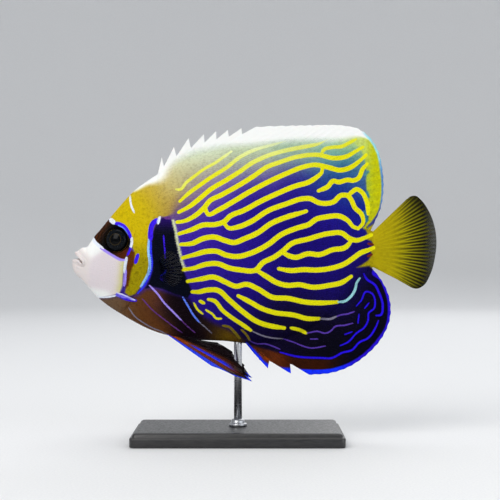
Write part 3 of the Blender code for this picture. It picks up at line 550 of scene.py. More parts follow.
def lengths_along(points):
    """How far along a line each of its points lies."""
    return np.concatenate([[0], np.cumsum(np.linalg.norm(np.diff(points, axis=0), axis=1))])


def path_through(points):
    """A smooth path through points, as a function of the share of its length."""
    points = np.array(points, float)
    along = lengths_along(points)
    parts = [curve_through(list(zip(along / along[-1], column))) for column in points.T]
    return lambda share: np.stack([part(np.asarray(share, float)) for part in parts], axis=-1)


def smoothstep(low, high, value):
    t = np.clip((value - low) / (high - low), 0, 1)
    return t * t * (3 - 2 * t)


def bell(value, width):
    """1 at zero, falling to nothing on both sides."""
    return np.exp(-((value / width) ** 2))


def rounding(distance, reach):
    """Rises from 0 at an edge to 1 at reach from it, steepest at the edge."""
    return np.sqrt(np.clip(distance / reach, 0, 1))


def unit(vectors):
    return vectors / np.maximum(np.linalg.norm(vectors, axis=-1, keepdims=True), 1e-9)


def from_photo(points):
    """Photograph pixels to side-view millimetres from the fish's axis."""
    return (np.array(points, float) - AXIS_PIXEL) * (PIXEL_MM, -PIXEL_MM)


def to_photo(places):
    return places / (PIXEL_MM, -PIXEL_MM) + AXIS_PIXEL


def smooth_line(points, count=6):
    """A line with count points on each stretch of a smooth curve through the given ones."""
    points = np.array(points, float)
    if len(points) < 3:
        return points
    return path_through(points)(np.linspace(0, 1, count * (len(points) - 1) + 1))


def line_distance(places, line):
    """Distance to an open line in millimetres, with its side, positive to the left, and share along it."""
    best = np.full(len(places), np.inf)
    side, share = np.zeros(len(places)), np.zeros(len(places))
    before = lengths_along(line)
    for a, b, start, end in zip(line, line[1:], before, before[1:]):
        along = b - a
        offset = places - a
        t = np.clip(offset @ along / (end - start) ** 2, 0, 1)
        distance = np.hypot(*(offset - t[:, None] * along).T)
        nearer = distance < best
        best[nearer] = distance[nearer]
        turn = along[0] * offset[:, 1] - along[1] * offset[:, 0]
        side[nearer] = np.sign(turn[nearer])
        share[nearer] = (start + t[nearer] * (end - start)) / before[-1]
    return best, side, share


def near(places, line, reach):
    """Which places lie within reach millimetres of the box round a line."""
    low, high = line.min(0) - reach, line.max(0) + reach
    return np.flatnonzero(np.all((places > low) & (places < high), axis=1))


def inside_by(places, outline):
    """How far places lie inside a closed outline, in millimetres, and outside it if negative."""
    closed = np.vstack([outline, outline[:1]])
    distance, _, _ = line_distance(places, closed)
    within = np.zeros(len(places), bool)
    for a, b in zip(closed, closed[1:]):
        crosses = (a[1] > places[:, 1]) != (b[1] > places[:, 1])
        rise = b[1] - a[1] if b[1] != a[1] else 1e-9
        within ^= crosses & (places[:, 0] < a[0] + (places[:, 1] - a[1]) / rise * (b[0] - a[0]))
    return np.where(within, distance, -distance)


back, belly = curve_through(BACK), curve_through(BELLY)
width_share, widest = curve_through(WIDTH), curve_through(WIDEST)


def flank(x, z):
    """How far the body's side lies from the midplane at side-view places, in millimetres."""
    middle = widest(x)
    span = np.where(z > middle, back(x) - middle, middle - belly(x))
    across = np.sqrt(np.clip(1 - ((z - middle) / span) ** 2, 0, 1))
    power = np.where(z > middle, RIDGE_SHARPNESS, KEEL_ROUNDNESS)
    return width_share(x) * HALF_WIDTH * across**power


def stations():
    """Where the skin has a ring: close on the head, a few for each spine, then even steps."""
    snout = BACK[0][0]
    head_share = np.linspace(0, 1, HEAD_STATIONS + 1)[:-1] ** HEAD_CROWDING
    count = (DORSAL_SPINES - 1) * SPINE_STATIONS
    spiny_share = np.linspace(0, 1, count + 1) ** SPINE_ROOT_CROWDING
    fine = np.linspace(SOFT_START, TAIL_START, 800)
    steepest = np.maximum(*(np.abs(np.gradient(edge(fine), fine)) for edge in (back, belly)))
    length = np.concatenate([[0], np.cumsum(np.diff(fine) * np.hypot(1, steepest)[1:] ** 0.75)])
    rear = np.interp(np.linspace(0, length[-1], int(length[-1] / REAR_STEP)), length, fine)
    head = snout + (DORSAL_START - snout) * head_share
    return np.concatenate([head, DORSAL_START + (SOFT_START - DORSAL_START) * spiny_share, rear[1:]])


def fin_root_half(x, start, end):
    """Half thickness of a fin's root, rounded at both of its ends like a leading edge."""
    from_ends = (np.clip(way / FIN_ROOT_ROUNDING, 0, 1) for way in (x - start, end - x))
    first, last = (np.sqrt(1 - (1 - share) ** 2) for share in from_ends)
    return FIN_ROOT_HALF * first * last


def body_grid(xs):
    """The left side of the body, one row per station from back to belly, as (x, outward, z)."""
    top_half = fin_root_half(xs, DORSAL_START, DORSAL_END)
    low_half = fin_root_half(xs, ANAL_START, ANAL_END)
    angle = np.linspace(math.pi / 2, -math.pi / 2, 900)
    up, across = np.sin(angle), np.maximum(np.cos(angle), 0)
    grid = np.zeros((len(xs), SIDE_POINTS, 3))
    for i, x in enumerate(xs):
        middle, top, bottom = float(widest(x)), float(back(x)), float(belly(x))
        half = float(width_share(x)) * HALF_WIDTH
        z = middle + np.where(up > 0, (top - middle) * up, (middle - bottom) * up)
        y = half * across ** np.where(up > 0, RIDGE_SHARPNESS, KEEL_ROUNDNESS)
        y = np.hypot(y, np.where(up > 0, top_half[i], low_half[i]))
        length = lengths_along(np.stack([y, z], axis=1))
        even = np.linspace(0, length[-1], SIDE_POINTS)
        grid[i, :, 0] = x
        grid[i, :, 1:] = np.stack([np.interp(even, length, values) for values in (y, z)], axis=1)
    return grid


def grid_normals(grid):
    """Outward unit normals of a grid whose second column is the distance outward."""
    normal = unit(np.cross(np.gradient(grid, axis=0), np.gradient(grid, axis=1)))
    return normal * np.where(normal[..., 1:2] < 0, -1, 1)


def plate_relief(places, line, height, fall, reach):
    """A bone's rear edge that stands out along a line, with a groove behind it."""
    relief = np.zeros(len(places))
    smooth = smooth_line(line)
    chosen = near(places, smooth, reach)
    distance, side, share = line_distance(places[chosen], smooth)
    ahead = distance * (-side if smooth[0, 1] > smooth[-1, 1] else side)
    ends = smoothstep(0, 0.08, share) * smoothstep(0, 0.08, 1 - share)
    step = smoothstep(-0.22, 0.1, ahead) * np.exp(-distance / fall)
    relief[chosen] = ends * (height * step - 0.14 * bell(ahead + 0.55, 0.35))
    return relief


def head_relief(places):
    """How much the head's forms stand out of the smooth body at side-view places, in millimetres."""
    relief = plate_relief(places, GILL_EDGE, 0.50, 7.0, 14.0)
    relief += plate_relief(places, PREOPERCLE, 0.34, 4.0, 9.0)
    relief += plate_relief(places, CHEEK_SPINE, 0.22, 2.2, 5.0)
    from_eye = np.hypot(*(places - EYE_CENTRE).T) - EYE_RADIUS
    relief += 0.42 * bell(from_eye - 0.75, 0.62) - 3.4 * smoothstep(0.25, -0.9, from_eye)
    for nostril in NOSTRILS:
        away = np.hypot(*(places - nostril).T)
        relief += 0.22 * bell(away - 0.62, 0.3) - 0.55 * bell(away, 0.42)
    for line, height in ((MOUTH_UPPER, 0.62), (MOUTH_LOWER, 0.6)):
        smooth = smooth_line(line)
        chosen = near(places, smooth, 4.0)
        distance, _, _ = line_distance(places[chosen], smooth)
        lip = height * bell(distance - 0.85, 0.75) - 0.22 * bell(distance - 2.35, 0.4)
        relief[chosen] += lip * smoothstep(-73.5, -77.6, places[chosen, 0])
    return relief


def open_mouth(grid):
    """Draws the skin between the lips back to the corner of the mouth, and tells how far it is drawn."""
    x, z = grid[..., 0], grid[..., 2]
    roof, floor = (np.interp(x, *np.array(line).T) for line in (MOUTH_UPPER, MOUTH_LOWER))
    between = (x < MOUTH_CORNER[0]) & (z < roof) & (z > floor)
    depth = np.where(between, np.minimum(roof - z, z - floor), 0)
    pull = smoothstep(0.0, 0.22, depth)
    grid[..., 0] += pull * (MOUTH_CORNER[0] + 0.2 - x)
    grid[..., 1] *= 1 - 0.45 * pull
    return pull


def spiny_edge():
    """Tip places of the spiny dorsal's columns: down behind each spine, then up the next tooth's front."""
    tips = np.array(SPINE_TIPS, float)
    down = np.linspace(0, 1, NOTCH_COLUMNS + 1)[1:, None]
    up = np.linspace(0, 1, SPINE_STATIONS - NOTCH_COLUMNS + 1)[1:, None]
    edge = [tips[:1]]
    for k, (tip, after) in enumerate(zip(tips, tips[1:])):
        if k < len(DEEP_NOTCHES):
            notch = np.array(DEEP_NOTCHES[k])
        else:
            notch = tip + 0.35 * (after - tip) - (0, SHALLOW_NOTCH)
        edge += [tip + down * (notch - tip), notch + up * (after - notch)]
    return np.concatenate(edge)


def ridge_profile(number, width):
    """1 on a ray, 0 between rays, where number counts rays."""
    return bell(np.abs(number - np.round(number)), width)


def forked(number, spread_by, width):
    """The ridges of rays that split in two, spread_by to each side."""
    return np.maximum(ridge_profile(number + spread_by, width), ridge_profile(number - spread_by, width))


def fan_out(roots, tips, half):
    """A fin's left face as (x, outward, z), with half its thickness from each root to its tip."""
    share = np.linspace(0, 1, half.shape[1])[None, :, None]
    flat = roots[:, None] + share * (tips - roots)[:, None]
    return np.stack([flat[..., 0], half, flat[..., 1]], axis=-1)


def upright_fin(roots, spiny_tips, spine_marks, margin, soft, rays, taper, ends):
    """Left face of the dorsal or anal fin, one row per column of its root, from root to tip.

    The first columns end at spiny_tips, with spines where spine_marks is 1, and the others at
    the shares soft of the margin. The soft margin is drawn in a little between its rays, which
    lose the share taper of their height on the way out.
    """
    share = np.linspace(0, 1, FIN_ROWS + 1)
    number = soft * (rays - 1)
    soft_tips = path_through(margin)(soft)
    way = soft_tips - roots[len(spiny_tips):]
    length = np.maximum(np.hypot(*way.T), 1e-6)
    drawn_in = np.minimum(SCALLOP, 0.03 * length) * (1 - ridge_profile(number, 0.3)) / length
    tips = np.vstack([spiny_tips, soft_tips - way * drawn_in[:, None]])

    length = np.hypot(*(tips - roots).T)
    window = SPINE_STATIONS + 1
    even = np.convolve(np.pad(length, window // 2, mode="edge"), np.ones(window), "valid") / window
    height = share * (length / np.maximum(even, 1e-6))[:, None]
    low, high = height[:len(spiny_tips)], height[len(spiny_tips):]
    spines = SPINE_SWELL * spine_marks[:, None] * (1 - 0.6 * low)
    fork = 0.13 * smoothstep(0.35, 0.9, high)
    soft_rays = RAY_SWELL * forked(number[:, None], fork, 0.13) * (1 - taper * high)
    half = MEMBRANE_HALF * (1 - 0.55 * np.minimum(height, 1)) + np.vstack([spines, soft_rays])
    sheath = np.exp(-height * 5.0)
    root_half = fin_root_half(roots[:, 0], *ends)
    half = half * (1 - sheath) + root_half[:, None] * sheath
    half *= rounding(1 - share, 0.02) * (root_half / FIN_ROOT_HALF)[:, None]
    half[:, 0] = root_half
    return fan_out(roots, tips, half)


def dorsal_grid(xs):
    """Left face of the dorsal fin on the stations of its root."""
    x = xs[(xs >= DORSAL_START - 1e-6) & (xs <= DORSAL_END + 1e-6)]
    spiny = spiny_edge()
    marks = ridge_profile(np.arange(len(spiny)) / SPINE_STATIONS, 0.3)
    soft = np.linspace(0, 1, len(x) - len(spiny) + 1)[1:]
    roots = np.stack([x, back(x)], 1)
    ends = (DORSAL_START, DORSAL_END)
    return upright_fin(roots, spiny, marks, DORSAL_MARGIN, soft, DORSAL_RAYS, 0.35, ends)


def anal_grid(xs):
    """Left face of the anal fin on the stations of its root."""
    x = xs[(xs >= ANAL_START - 0.3) & (xs <= ANAL_END + 1e-6)]
    spiny_x = x[x < ANAL_SOFT_START]
    edge_x, *edge_tips = np.array(ANAL_SPINY_EDGE).T
    spiny = np.stack([np.interp(spiny_x, edge_x, values) for values in edge_tips], 1)
    marks = sum(bell(spiny_x - root, 0.5) for root in ANAL_SPINE_ROOTS)
    soft = np.linspace(0, 1, len(x) - len(spiny_x))
    roots = np.stack([x, belly(x)], 1)
    return upright_fin(roots, spiny, marks, ANAL_MARGIN, soft, ANAL_RAYS, 0, (ANAL_START, ANAL_END))


def tail_grid(last_ring):
    """Left face of the tail fin, fanned out from the last ring of the tail stalk."""
    height = last_ring[:, 2]
    fan = (height[0] - height) / (height[0] - height[-1])
    share = np.linspace(0, 1, TAIL_ROWS + 1)
    rays = fan[:, None] * (TAIL_RAYS - 1)
    first, second = 0.25 * smoothstep(0.25, 0.7, share), 0.11 * smoothstep(0.6, 1.0, share)
    ridge = np.maximum(forked(rays + first, second, 0.12), forked(rays - first, second, 0.12))
    from_side = np.minimum(fan, 1 - fan)[:, None]
    half = MEMBRANE_HALF * (1 - 0.5 * share) + 0.15 * ridge * (1 - 0.4 * share)
    half = half + 0.22 * bell(from_side, 0.025) * (1 - 0.7 * share)
    sheath = 1 - smoothstep(0, 0.34, share)
    half = half * (1 - sheath) + last_ring[:, 1:2] * sheath + 0.1 * ridge * sheath * (1 - sheath)
    half = half * rounding(from_side, 0.012) * rounding(1 - share, 0.02)
    half[:, 0] = last_ring[:, 1]
    return fan_out(last_ring[:, [0, 2]], path_through(TAIL_MARGIN)(fan), half).transpose(1, 0, 2)


def paint(name):
    return np.array(PAINT[name], float) / 255


def mixed(below, above, share):
    """Colours blended by a share at each place, where either may be the name of a paint."""
    below, above = (paint(colour) if isinstance(colour, str) else colour for colour in (below, above))
    return below + (above - below) * np.clip(share, 0, 1)[:, None]


def spread(at, spots, reach):
    """Paints blended over places by how near their spots are, with reach in pixels."""
    total, weights = 0, 0
    for name, centres in spots.items():
        for x, y in centres:
            away = ((at.px - x) ** 2 + (at.py - y) ** 2) / reach**2
            weight = (np.exp(-away / 2) + 0.002 / (1 + away**2))[:, None]
            total = total + weight * paint(name)
            weights = weights + weight
    return total / weights


def drawn_lines(flat, lines):
    """How far places lie inside the nearest of many drawn lines, in millimetres, and its number."""
    inside = np.full(len(flat), -2.0)
    owner = np.zeros(len(flat), int)
    for number, entry in enumerate(lines.values()):
        drawn = smooth_line(from_photo(entry[-1]))
        half = entry[0] * PIXEL_MM / 2
        chosen = near(flat, drawn, half + 2)
        distance, _, share = line_distance(flat[chosen], drawn)
        narrowing = 0.72 + 0.28 * smoothstep(0, 0.12, share) * smoothstep(0, 0.12, 1 - share)
        value = half * narrowing - distance
        better = value > inside[chosen]
        inside[chosen[better]] = value[better]
        owner[chosen[better]] = number
    return inside, owner


def dorsal_depth(flat):
    """How deep places lie below the nape and the dorsal fin's edge, in pixels."""
    return line_distance(flat, smooth_line(from_photo(DORSAL_EDGE)))[0] / PIXEL_MM


class Places:
    """Side-view places with their photograph pixels, and the shares of the pale zones there."""

    def __init__(self, flat, on_tail, ridge):
        px, py = to_photo(flat).T
        self.flat, self.px, self.py, self.on_tail, self.ridge = flat, px, py, on_tail, ridge
        self.depth = dorsal_depth(flat)
        white, fade = curve_through(EDGE_WHITE)(px), curve_through(EDGE_FADE)(px)
        bare = on_tail | (py > 232) | ((px > 300) & (py > 200))
        self.white = np.where(bare, 0, 1 - smoothstep(white, white + fade, self.depth))
        reach = curve_through(HAZE_REACH)(px)
        haze = smoothstep(reach, 0.26 * reach, self.depth) * smoothstep(212, 184, py) * ~on_tail
        self.haze = haze * smoothstep(150, 176, px) * smoothstep(376, 362, px)
        self.nape = self.zone(NAPE, 0.8 + 7.0 * smoothstep(152, 168, px) * smoothstep(218, 206, py))
        self.face = self.zone(FACE, 0.8)

    def zone(self, outline, soft):
        """Share of a zone at each place, with an edge soft millimetres wide."""
        return smoothstep(-0.5, 0.5, inside_by(self.flat, from_photo(outline)) / soft)

    def band(self, width, line, soft):
        """Share of a drawn line at each place; the width is in pixels."""
        drawn = smooth_line(from_photo(line))
        share = np.zeros(len(self.flat))
        chosen = near(self.flat, drawn, width)
        distance, _, _ = line_distance(self.flat[chosen], drawn)
        share[chosen] = smoothstep(-0.5, 0.5, (width * PIXEL_MM / 2 - distance) / soft)
        return share


def body_colours(at):
    """Ground colours of the flank, the breast, the bar behind the gill cover with a painted violet sheen at
    its top, and the nape.
    """
    ground = mixed(spread(at, BODY_SPOTS, 17), spread(at, BREAST_SPOTS, 8), at.zone(BREAST, 4.0))
    # The dark bar gets a painted violet sheen at its top, fading to its black lower down
    bar = mixed("bar_violet_sheen", "bar", smoothstep(218, 236, at.py))
    ground = mixed(ground, bar, at.zone(BAR, 0.9))
    ground = mixed(ground, "bar_edge", at.band(*BAR_EDGE, 0.7))
    ground = mixed(ground, spread(at, NAPE_SPOTS, 11), at.nape)
    return mixed(ground, "strip_brown", at.zone(CHEEK_STRIP, 0.8))


def add_dorsal_colours(ground, at):
    """The yellow lobe, the haze, the white edge and the pale blue rim of the dorsal fin."""
    ground = mixed(ground, "lobe", at.zone(LOBE, 1.0) * ~at.on_tail * (0.93 + 0.07 * at.ridge))
    for width, line in LOBE_PATCHES:
        ground = mixed(ground, "teal", at.band(width, line, 1.0))
    ground = mixed(ground, spread(at, HAZE_SPOTS, 12), 0.92 * at.haze)
    ground = mixed(ground, "white", at.white)
    rim = mixed("rim_cyan", "rim_blue", smoothstep(150, 178, at.py))
    rim = mixed(rim, "rim_low", smoothstep(200, 216, at.py))
    behind = smoothstep(360, 368, at.px) * ~at.on_tail * (at.py < 230)
    return mixed(ground, rim, behind * smoothstep(3.4, 2.0, at.depth))


def add_face_colours(ground, at):
    """The pale snout and the dark mask, streaked towards the forehead."""
    ground = mixed(ground, spread(at, FACE_SPOTS, 4), at.face)
    streak = smoothstep(0.1, 0.8, np.sin(at.px * 1.9 + at.py * 1.1 + 1.5 * np.sin(at.py * 0.6)))
    dark = 0.6 * streak * smoothstep(112, 100, at.px)
    mask = mixed(spread(at, MASK_SPOTS, 4), "mask_black", dark)
    return mixed(ground, mask, at.zone(MASK, 0.7))


def add_tail_colours(ground, at):
    """Yellow rays with darker skin between them towards the rim."""
    between = (0.05 + 0.9 * smoothstep(388, 424, at.px)) * (1 - at.ridge)
    tail = mixed(spread(at, TAIL_SPOTS, 12), "tail_gap", between)
    return mixed(ground, tail, np.where(at.on_tail, 1.0, at.zone(TAIL_BASE, 1.2) * (at.px > 354)))


def add_anal_colours(ground, at):
    """The anal fin's orange to brown band and its bright blue rim."""
    px = at.px
    colour = mixed("anal_orange", "anal_brown", smoothstep(268, 296, px))
    colour = mixed(colour, "anal_black", 0.5 * (1 - at.ridge) * smoothstep(300, 260, px))
    ground = mixed(ground, colour, at.zone(ANAL_BAND, 1.6) * ~at.on_tail * smoothstep(354, 318, px))
    distance, _, _ = line_distance(at.flat, smooth_line(from_photo(ANAL_EDGE)))
    width = np.interp(px, [250, 290, 345, 392], [1.2, 2.8, 2.4, 1.9])
    rim = smoothstep(0.25, -0.25, distance - width) * (at.py > 270) * (px > 246) * ~at.on_tail
    return mixed(ground, mixed("anal_rim", "anal_rim_rear", smoothstep(335, 360, px)), rim)


def markings(flat, on_tail, ridge):
    """Every marking of the fish at side-view places: linear colours, and fields of stripes and lines."""
    at = Places(flat, on_tail, ridge)
    ground = body_colours(at)
    for add in (add_dorsal_colours, add_face_colours, add_tail_colours, add_anal_colours):
        ground = add(ground, at)
    stripe, _ = drawn_lines(flat, STRIPES)
    dim, _ = drawn_lines(flat, DIM_STRIPES)
    line, owner = drawn_lines(flat, LINES)
    stripe = np.where(on_tail & (at.px > 376), -2, stripe) - 0.9 * at.white - 0.12 * at.haze
    faded = at.haze**1.6 * smoothstep(400, 240, at.px) + at.white
    stripe_colour = mixed(mixed("yellow", "yellow_pale", faded), "yellow_dim", dim > stripe)
    stripe = np.maximum(stripe, dim)
    line_colour = np.array([paint(entry[1]) for entry in LINES.values()])[owner]
    clear = np.where(on_tail, smoothstep(0, 1, (at.px - 418) / 18), 0) * (1 - 0.6 * ridge)
    mottle = np.where(on_tail, 0.3, 0.45) * (1 - at.white) * (1 - at.face)
    mottle = mottle * (1 - 0.75 * smoothstep(-0.2, 0.2, stripe))
    nape_mottle = (0.5 + 0.3 * smoothstep(240, 262, at.py)) * at.nape * (1 - at.white)
    return {
        "ground": linear(ground), "stripe_colour": linear(stripe_colour), "line_colour": linear(line_colour),
        "stripe": stripe, "line": line, "clear": clear, "mottle": np.maximum(mottle, nape_mottle),
    }


def linear(colour):
    """Colours as seen, turned into the linear values that a shader takes, with full alpha."""
    values = np.where(colour <= 0.04045, colour / 12.92, ((colour + 0.055) / 1.055) ** 2.4)
    return np.concatenate([values, np.ones((len(colour), 1))], axis=1)


SIDES = (("left", -1), ("right", 1))


def to_row(points, side):
    """Points as (x, outward, z) in millimetres to the row frame, on the left (-1) or right (1) side."""
    return points * (MM, side * MM, MM) + (0, 0, AXIS_HEIGHT)


def grid_quads(rows, columns):
    corner = np.arange(rows * columns).reshape(rows, columns)
    quads = np.stack([corner[:-1, :-1], corner[1:, :-1], corner[1:, 1:], corner[:-1, 1:]], axis=-1)
    return quads.reshape(-1, 4)


def ring_quads(rings, around):
    """Faces between closed rings of points."""
    number = np.arange(rings * around).reshape(rings, around)
    after = np.roll(number, -1, axis=1)
    return np.stack([number[:-1], number[1:], after[1:], after[:-1]], axis=-1).reshape(-1, 4)


def add_mesh(name, points, faces, values, merge=None):
    """A mesh object from arrays in the row frame, with point attributes, smooth shaded."""
    mesh = bpy.data.meshes.new(name)
    mesh.vertices.add(len(points))
    mesh.vertices.foreach_set("co", points.astype(np.float32).ravel())
    mesh.loops.add(faces.size)
    mesh.loops.foreach_set("vertex_index", faces.astype(np.int32).ravel())
    mesh.polygons.add(len(faces))
    mesh.polygons.foreach_set("loop_start", np.arange(0, faces.size, faces.shape[1], dtype=np.int32))
    mesh.update(calc_edges=True)
    for key, value in values.items():
        kind, field = ("FLOAT_COLOR", "color") if value.ndim == 2 else ("FLOAT", "value")
        layer = mesh.attributes.new(key, kind, "POINT")
        layer.data.foreach_set(field, value.astype(np.float32).ravel())
    if merge:
        bm = bmesh.new()
        bm.from_mesh(mesh)
        bmesh.ops.remove_doubles(bm, verts=bm.verts, dist=merge)
        bmesh.ops.recalc_face_normals(bm, faces=bm.faces)
        bm.to_mesh(mesh)
        bm.free()
    mesh.polygons.foreach_set("use_smooth", np.ones(len(mesh.polygons), bool))
    made = bpy.data.objects.new(name, mesh)
    bpy.context.scene.collection.objects.link(made)
    return made


def joined(sheets):
    """Several (grid, values) sheets and their mirror images as one set of arrays."""
    points, faces, values = [], [], {}
    start = 0
    for _, side in SIDES:
        for grid, found in sheets:
            quads = grid_quads(*grid.shape[:2]) + start
            points.append(to_row(grid, side).reshape(-1, 3))
            faces.append(quads if side < 0 else quads[:, ::-1])
            start += len(points[-1])
            for key, value in found.items():
                values.setdefault(key, []).append(value)
    values = {key: np.concatenate(found) for key, found in values.items()}
    return np.concatenate(points), np.concatenate(faces), values


class Nodes:
    """A material's node tree with short calls for the nodes used here."""

    def __init__(self, name):
        self.material = bpy.data.materials.new(name)
        self.material.use_nodes = True
        self.tree = self.material.node_tree
        self.shader = self.tree.nodes["Principled BSDF"].inputs

    def node(self, kind, **settings):
        made = self.tree.nodes.new(kind)
        for key, value in settings.items():
            setattr(made, key, value)
        return made

    def feed(self, value, socket):
        """Sets a socket to a constant, or links it to another node's output."""
        if isinstance(value, (int, float, tuple)):
            socket.default_value = value
        else:
            self.tree.links.new(value, socket)

    def field(self, name, output="Fac"):
        return self.node("ShaderNodeAttribute", attribute_name=name).outputs[output]

    def colour(self, name):
        return self.field(name, "Color")

    def noise(self, scale, detail, stretch=None):
        made = self.node("ShaderNodeTexNoise")
        made.inputs["Scale"].default_value = scale
        made.inputs["Detail"].default_value = detail
        source = self.node("ShaderNodeTexCoord").outputs["Object"]
        if stretch:
            mapping = self.node("ShaderNodeMapping")
            mapping.inputs["Scale"].default_value = stretch
            self.feed(source, mapping.inputs["Vector"])
            source = mapping.outputs["Vector"]
        self.feed(source, made.inputs["Vector"])
        return made.outputs["Fac"]

    def math(self, operation, first, second):
        made = self.node("ShaderNodeMath", operation=operation)
        for socket, value in zip(made.inputs, (first, second)):
            self.feed(value, socket)
        return made.outputs[0]

    def times(self, first, second):
        return self.math("MULTIPLY", first, second)

    def span(self, value, low, high, to_low=0.0, to_high=1.0):
        made = self.node("ShaderNodeMapRange", interpolation_type="SMOOTHSTEP")
        self.feed(value, made.inputs["Value"])
        for key, number in (("From Min", low), ("From Max", high), ("To Min", to_low), ("To Max", to_high)):
            made.inputs[key].default_value = number
        return made.outputs["Result"]

    def mix(self, below, above, share, blend="MIX"):
        made = self.node("ShaderNodeMix", data_type="RGBA", blend_type=blend, clamp_factor=True)
        for socket, value in ((6, below), (7, above), (0, share)):
            self.feed(value, made.inputs[socket])
        return made.outputs[2]

    def scaled(self, colour, factors):
        return self.mix(colour, (*factors, 1.0), 1.0, "MULTIPLY")

    def finish(self, colour, roughness, bump, **constants):
        """Feeds the shader; bump is a height, its strength and its distance in metres."""
        self.feed(colour, self.shader["Base Color"])
        self.feed(roughness, self.shader["Roughness"])
        for key, value in constants.items():
            self.shader[key.replace("_", " ")].default_value = value
        made = self.node("ShaderNodeBump")
        for key, value in zip(("Height", "Strength", "Distance"), bump):
            self.feed(value, made.inputs[key])
        self.feed(made.outputs["Normal"], self.shader["Normal"])
        return self.material


def shade(*seen):
    """A colour as seen, 0 to 255, as a linear shader colour."""
    return tuple(linear(np.array([seen], float) / 255)[0])


def fish_material(name, scaly):
    """Ground, stripes and lines from the mesh's own fields, broken up by fine grain."""
    n = Nodes(name)
    grain, blotch = n.noise(2600, 2.0), n.noise(760, 4.0)
    edge = n.times(n.math("SUBTRACT", grain, 0.5), 0.34)
    colour = n.colour("ground")
    for field, soft in (("stripe", 0.17), ("line", 0.16)):
        share = n.span(n.math("ADD", n.field(field), edge), -soft, soft)
        colour = n.mix(colour, n.colour(field + "_colour"), share)
    mottle = n.field("mottle")
    darker = n.scaled(colour, (0.45, 0.42, 0.40))
    colour = n.mix(colour, darker, n.times(mottle, n.span(blotch, 0.44, 0.72, 0.0, 0.8)))
    lighter = n.scaled(colour, (1.35, 1.35, 1.35))
    colour = n.mix(colour, lighter, n.times(mottle, n.span(grain, 0.45, 0.8)))
    if not scaly:
        n.feed(n.math("SUBTRACT", 1.0, n.times(n.field("clear"), 0.4)), n.shader["Alpha"])
    return n.finish(
        colour, n.span(blotch, 0.3, 0.7, 0.42, 0.58), (grain, 0.35, 0.00012), Subsurface_Weight=0.04,
        Subsurface_Scale=0.0015, Coat_Weight=0.0, Coat_Roughness=0.25, Specular_IOR_Level=0.035,
    )


def fin_material(name, clear_share):
    """Thin fin skin: darker rays from the mesh, see-through between them."""
    n = Nodes(name)
    grain = n.noise(1800, 3.0)
    ground = n.colour("ground")
    colour = n.mix(ground, n.scaled(ground, (0.45, 0.42, 0.5)), n.span(grain, 0.45, 0.7))
    solid = n.math("MAXIMUM", n.span(n.field("ray"), 0.1, 0.8), n.field("solid"))
    n.feed(n.math("ADD", n.times(solid, clear_share), 1.0 - clear_share), n.shader["Alpha"])
    return n.finish(
        colour, n.span(grain, 0.3, 0.7, 0.24, 0.42), (grain, 0.3, 0.0001),
        Coat_Roughness=0.2, Specular_IOR_Level=0.05,
    )


def eye_material():
    """A near-black eye with a blue-grey iris, gold flecks and a thin gold rim."""
    n = Nodes("eye_wet")
    out, around = n.field("out"), n.field("around")
    flecks = n.noise(1500, 4.0)
    iris = n.mix(shade(2, 5, 9), shade(9, 16, 24), n.span(flecks, 0.42, 0.66))
    iris = n.mix(iris, shade(44, 34, 16), n.span(flecks, 0.64, 0.78, 0.0, 0.5))
    colour = n.mix(shade(2, 3, 5), iris, n.span(out, 0.44, 0.52))
    ring = n.times(n.span(out, 0.43, 0.46), n.span(out, 0.50, 0.47))
    colour = n.mix(colour, shade(84, 68, 30), n.times(ring, 0.4))
    colour = n.mix(colour, shade(4, 5, 8), n.span(out, 0.78, 0.90))
    rim = n.times(n.span(out, 0.945, 0.965), n.math("ADD", 0.2, n.times(around, 0.8)))
    colour = n.mix(colour, shade(196, 160, 70), rim)
    return n.finish(
        colour, n.span(flecks, 0.3, 0.7, 0.08, 0.16), (flecks, 0.12, 0.0001),
        Coat_Weight=0.08, Coat_Roughness=0.03, Specular_IOR_Level=0.05,
    )


def spine_material():
    """The cheek spine: violet-blue bone, painted white along its top as a painted highlight, and worn pale
    at its tip.
    """
    n = Nodes("spine_blue_bone")
    grain = n.noise(1500, 3.0, (0.25, 1.0, 1.0))
    colour = n.mix(shade(60, 40, 206), shade(120, 110, 226), n.span(grain, 0.4, 0.65))
    # The pale field carries a painted highlight along the spine's top, and the pale tip
    colour = n.mix(colour, shade(226, 228, 238), n.field("pale"))
    return n.finish(colour, n.span(grain, 0.3, 0.7, 0.24, 0.4), (grain, 0.3, 0.0001), Coat_Weight=0.3)


def lacquer_material():
    """Satin black lacquer over fine-grained board, a little greyer where it has been handled."""
    n = Nodes("stand_black_lacquer")
    grain, dust = n.noise(240, 6.0, (1.0, 7.0, 7.0)), n.noise(900, 3.0)
    colour = n.mix(shade(22, 22, 24), shade(40, 39, 40), n.span(grain, 0.35, 0.7))
    colour = n.mix(colour, shade(74, 73, 72), n.span(dust, 0.66, 0.8, 0.0, 0.35))
    return n.finish(
        colour, n.span(dust, 0.3, 0.7, 0.30, 0.46), (grain, 0.22, 0.0002),
        Coat_Weight=0.25, Coat_Roughness=0.22,
    )


def steel_material():
    """Brushed steel with fine turning lines round the rod."""
    n = Nodes("rod_brushed_steel")
    lines = n.noise(60, 6.0, (1.0, 1.0, 90.0))
    colour = n.mix(shade(150, 152, 156), shade(206, 208, 212), n.span(lines, 0.35, 0.65))
    return n.finish(colour, n.span(lines, 0.3, 0.7, 0.20, 0.38), (lines, 0.2, 0.0001), Metallic=1.0)


def stage_material():
    """Pale matt studio paper."""
    n = Nodes("studio_paper")
    fibre = n.noise(900, 3.0)
    colour = n.mix(shade(222, 223, 225), shade(227, 228, 229), n.span(fibre, 0.35, 0.65))
    return n.finish(colour, 0.85, (fibre, 0.05, 0.0001))


def dress(piece, material, slot, *replaced):
    """Gives a piece its material and its body, and hides the nodes it stands for; slot is not used."""
    piece.data.materials.append(material)
    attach(piece, "root")
    if replaced:
        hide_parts(*replaced)


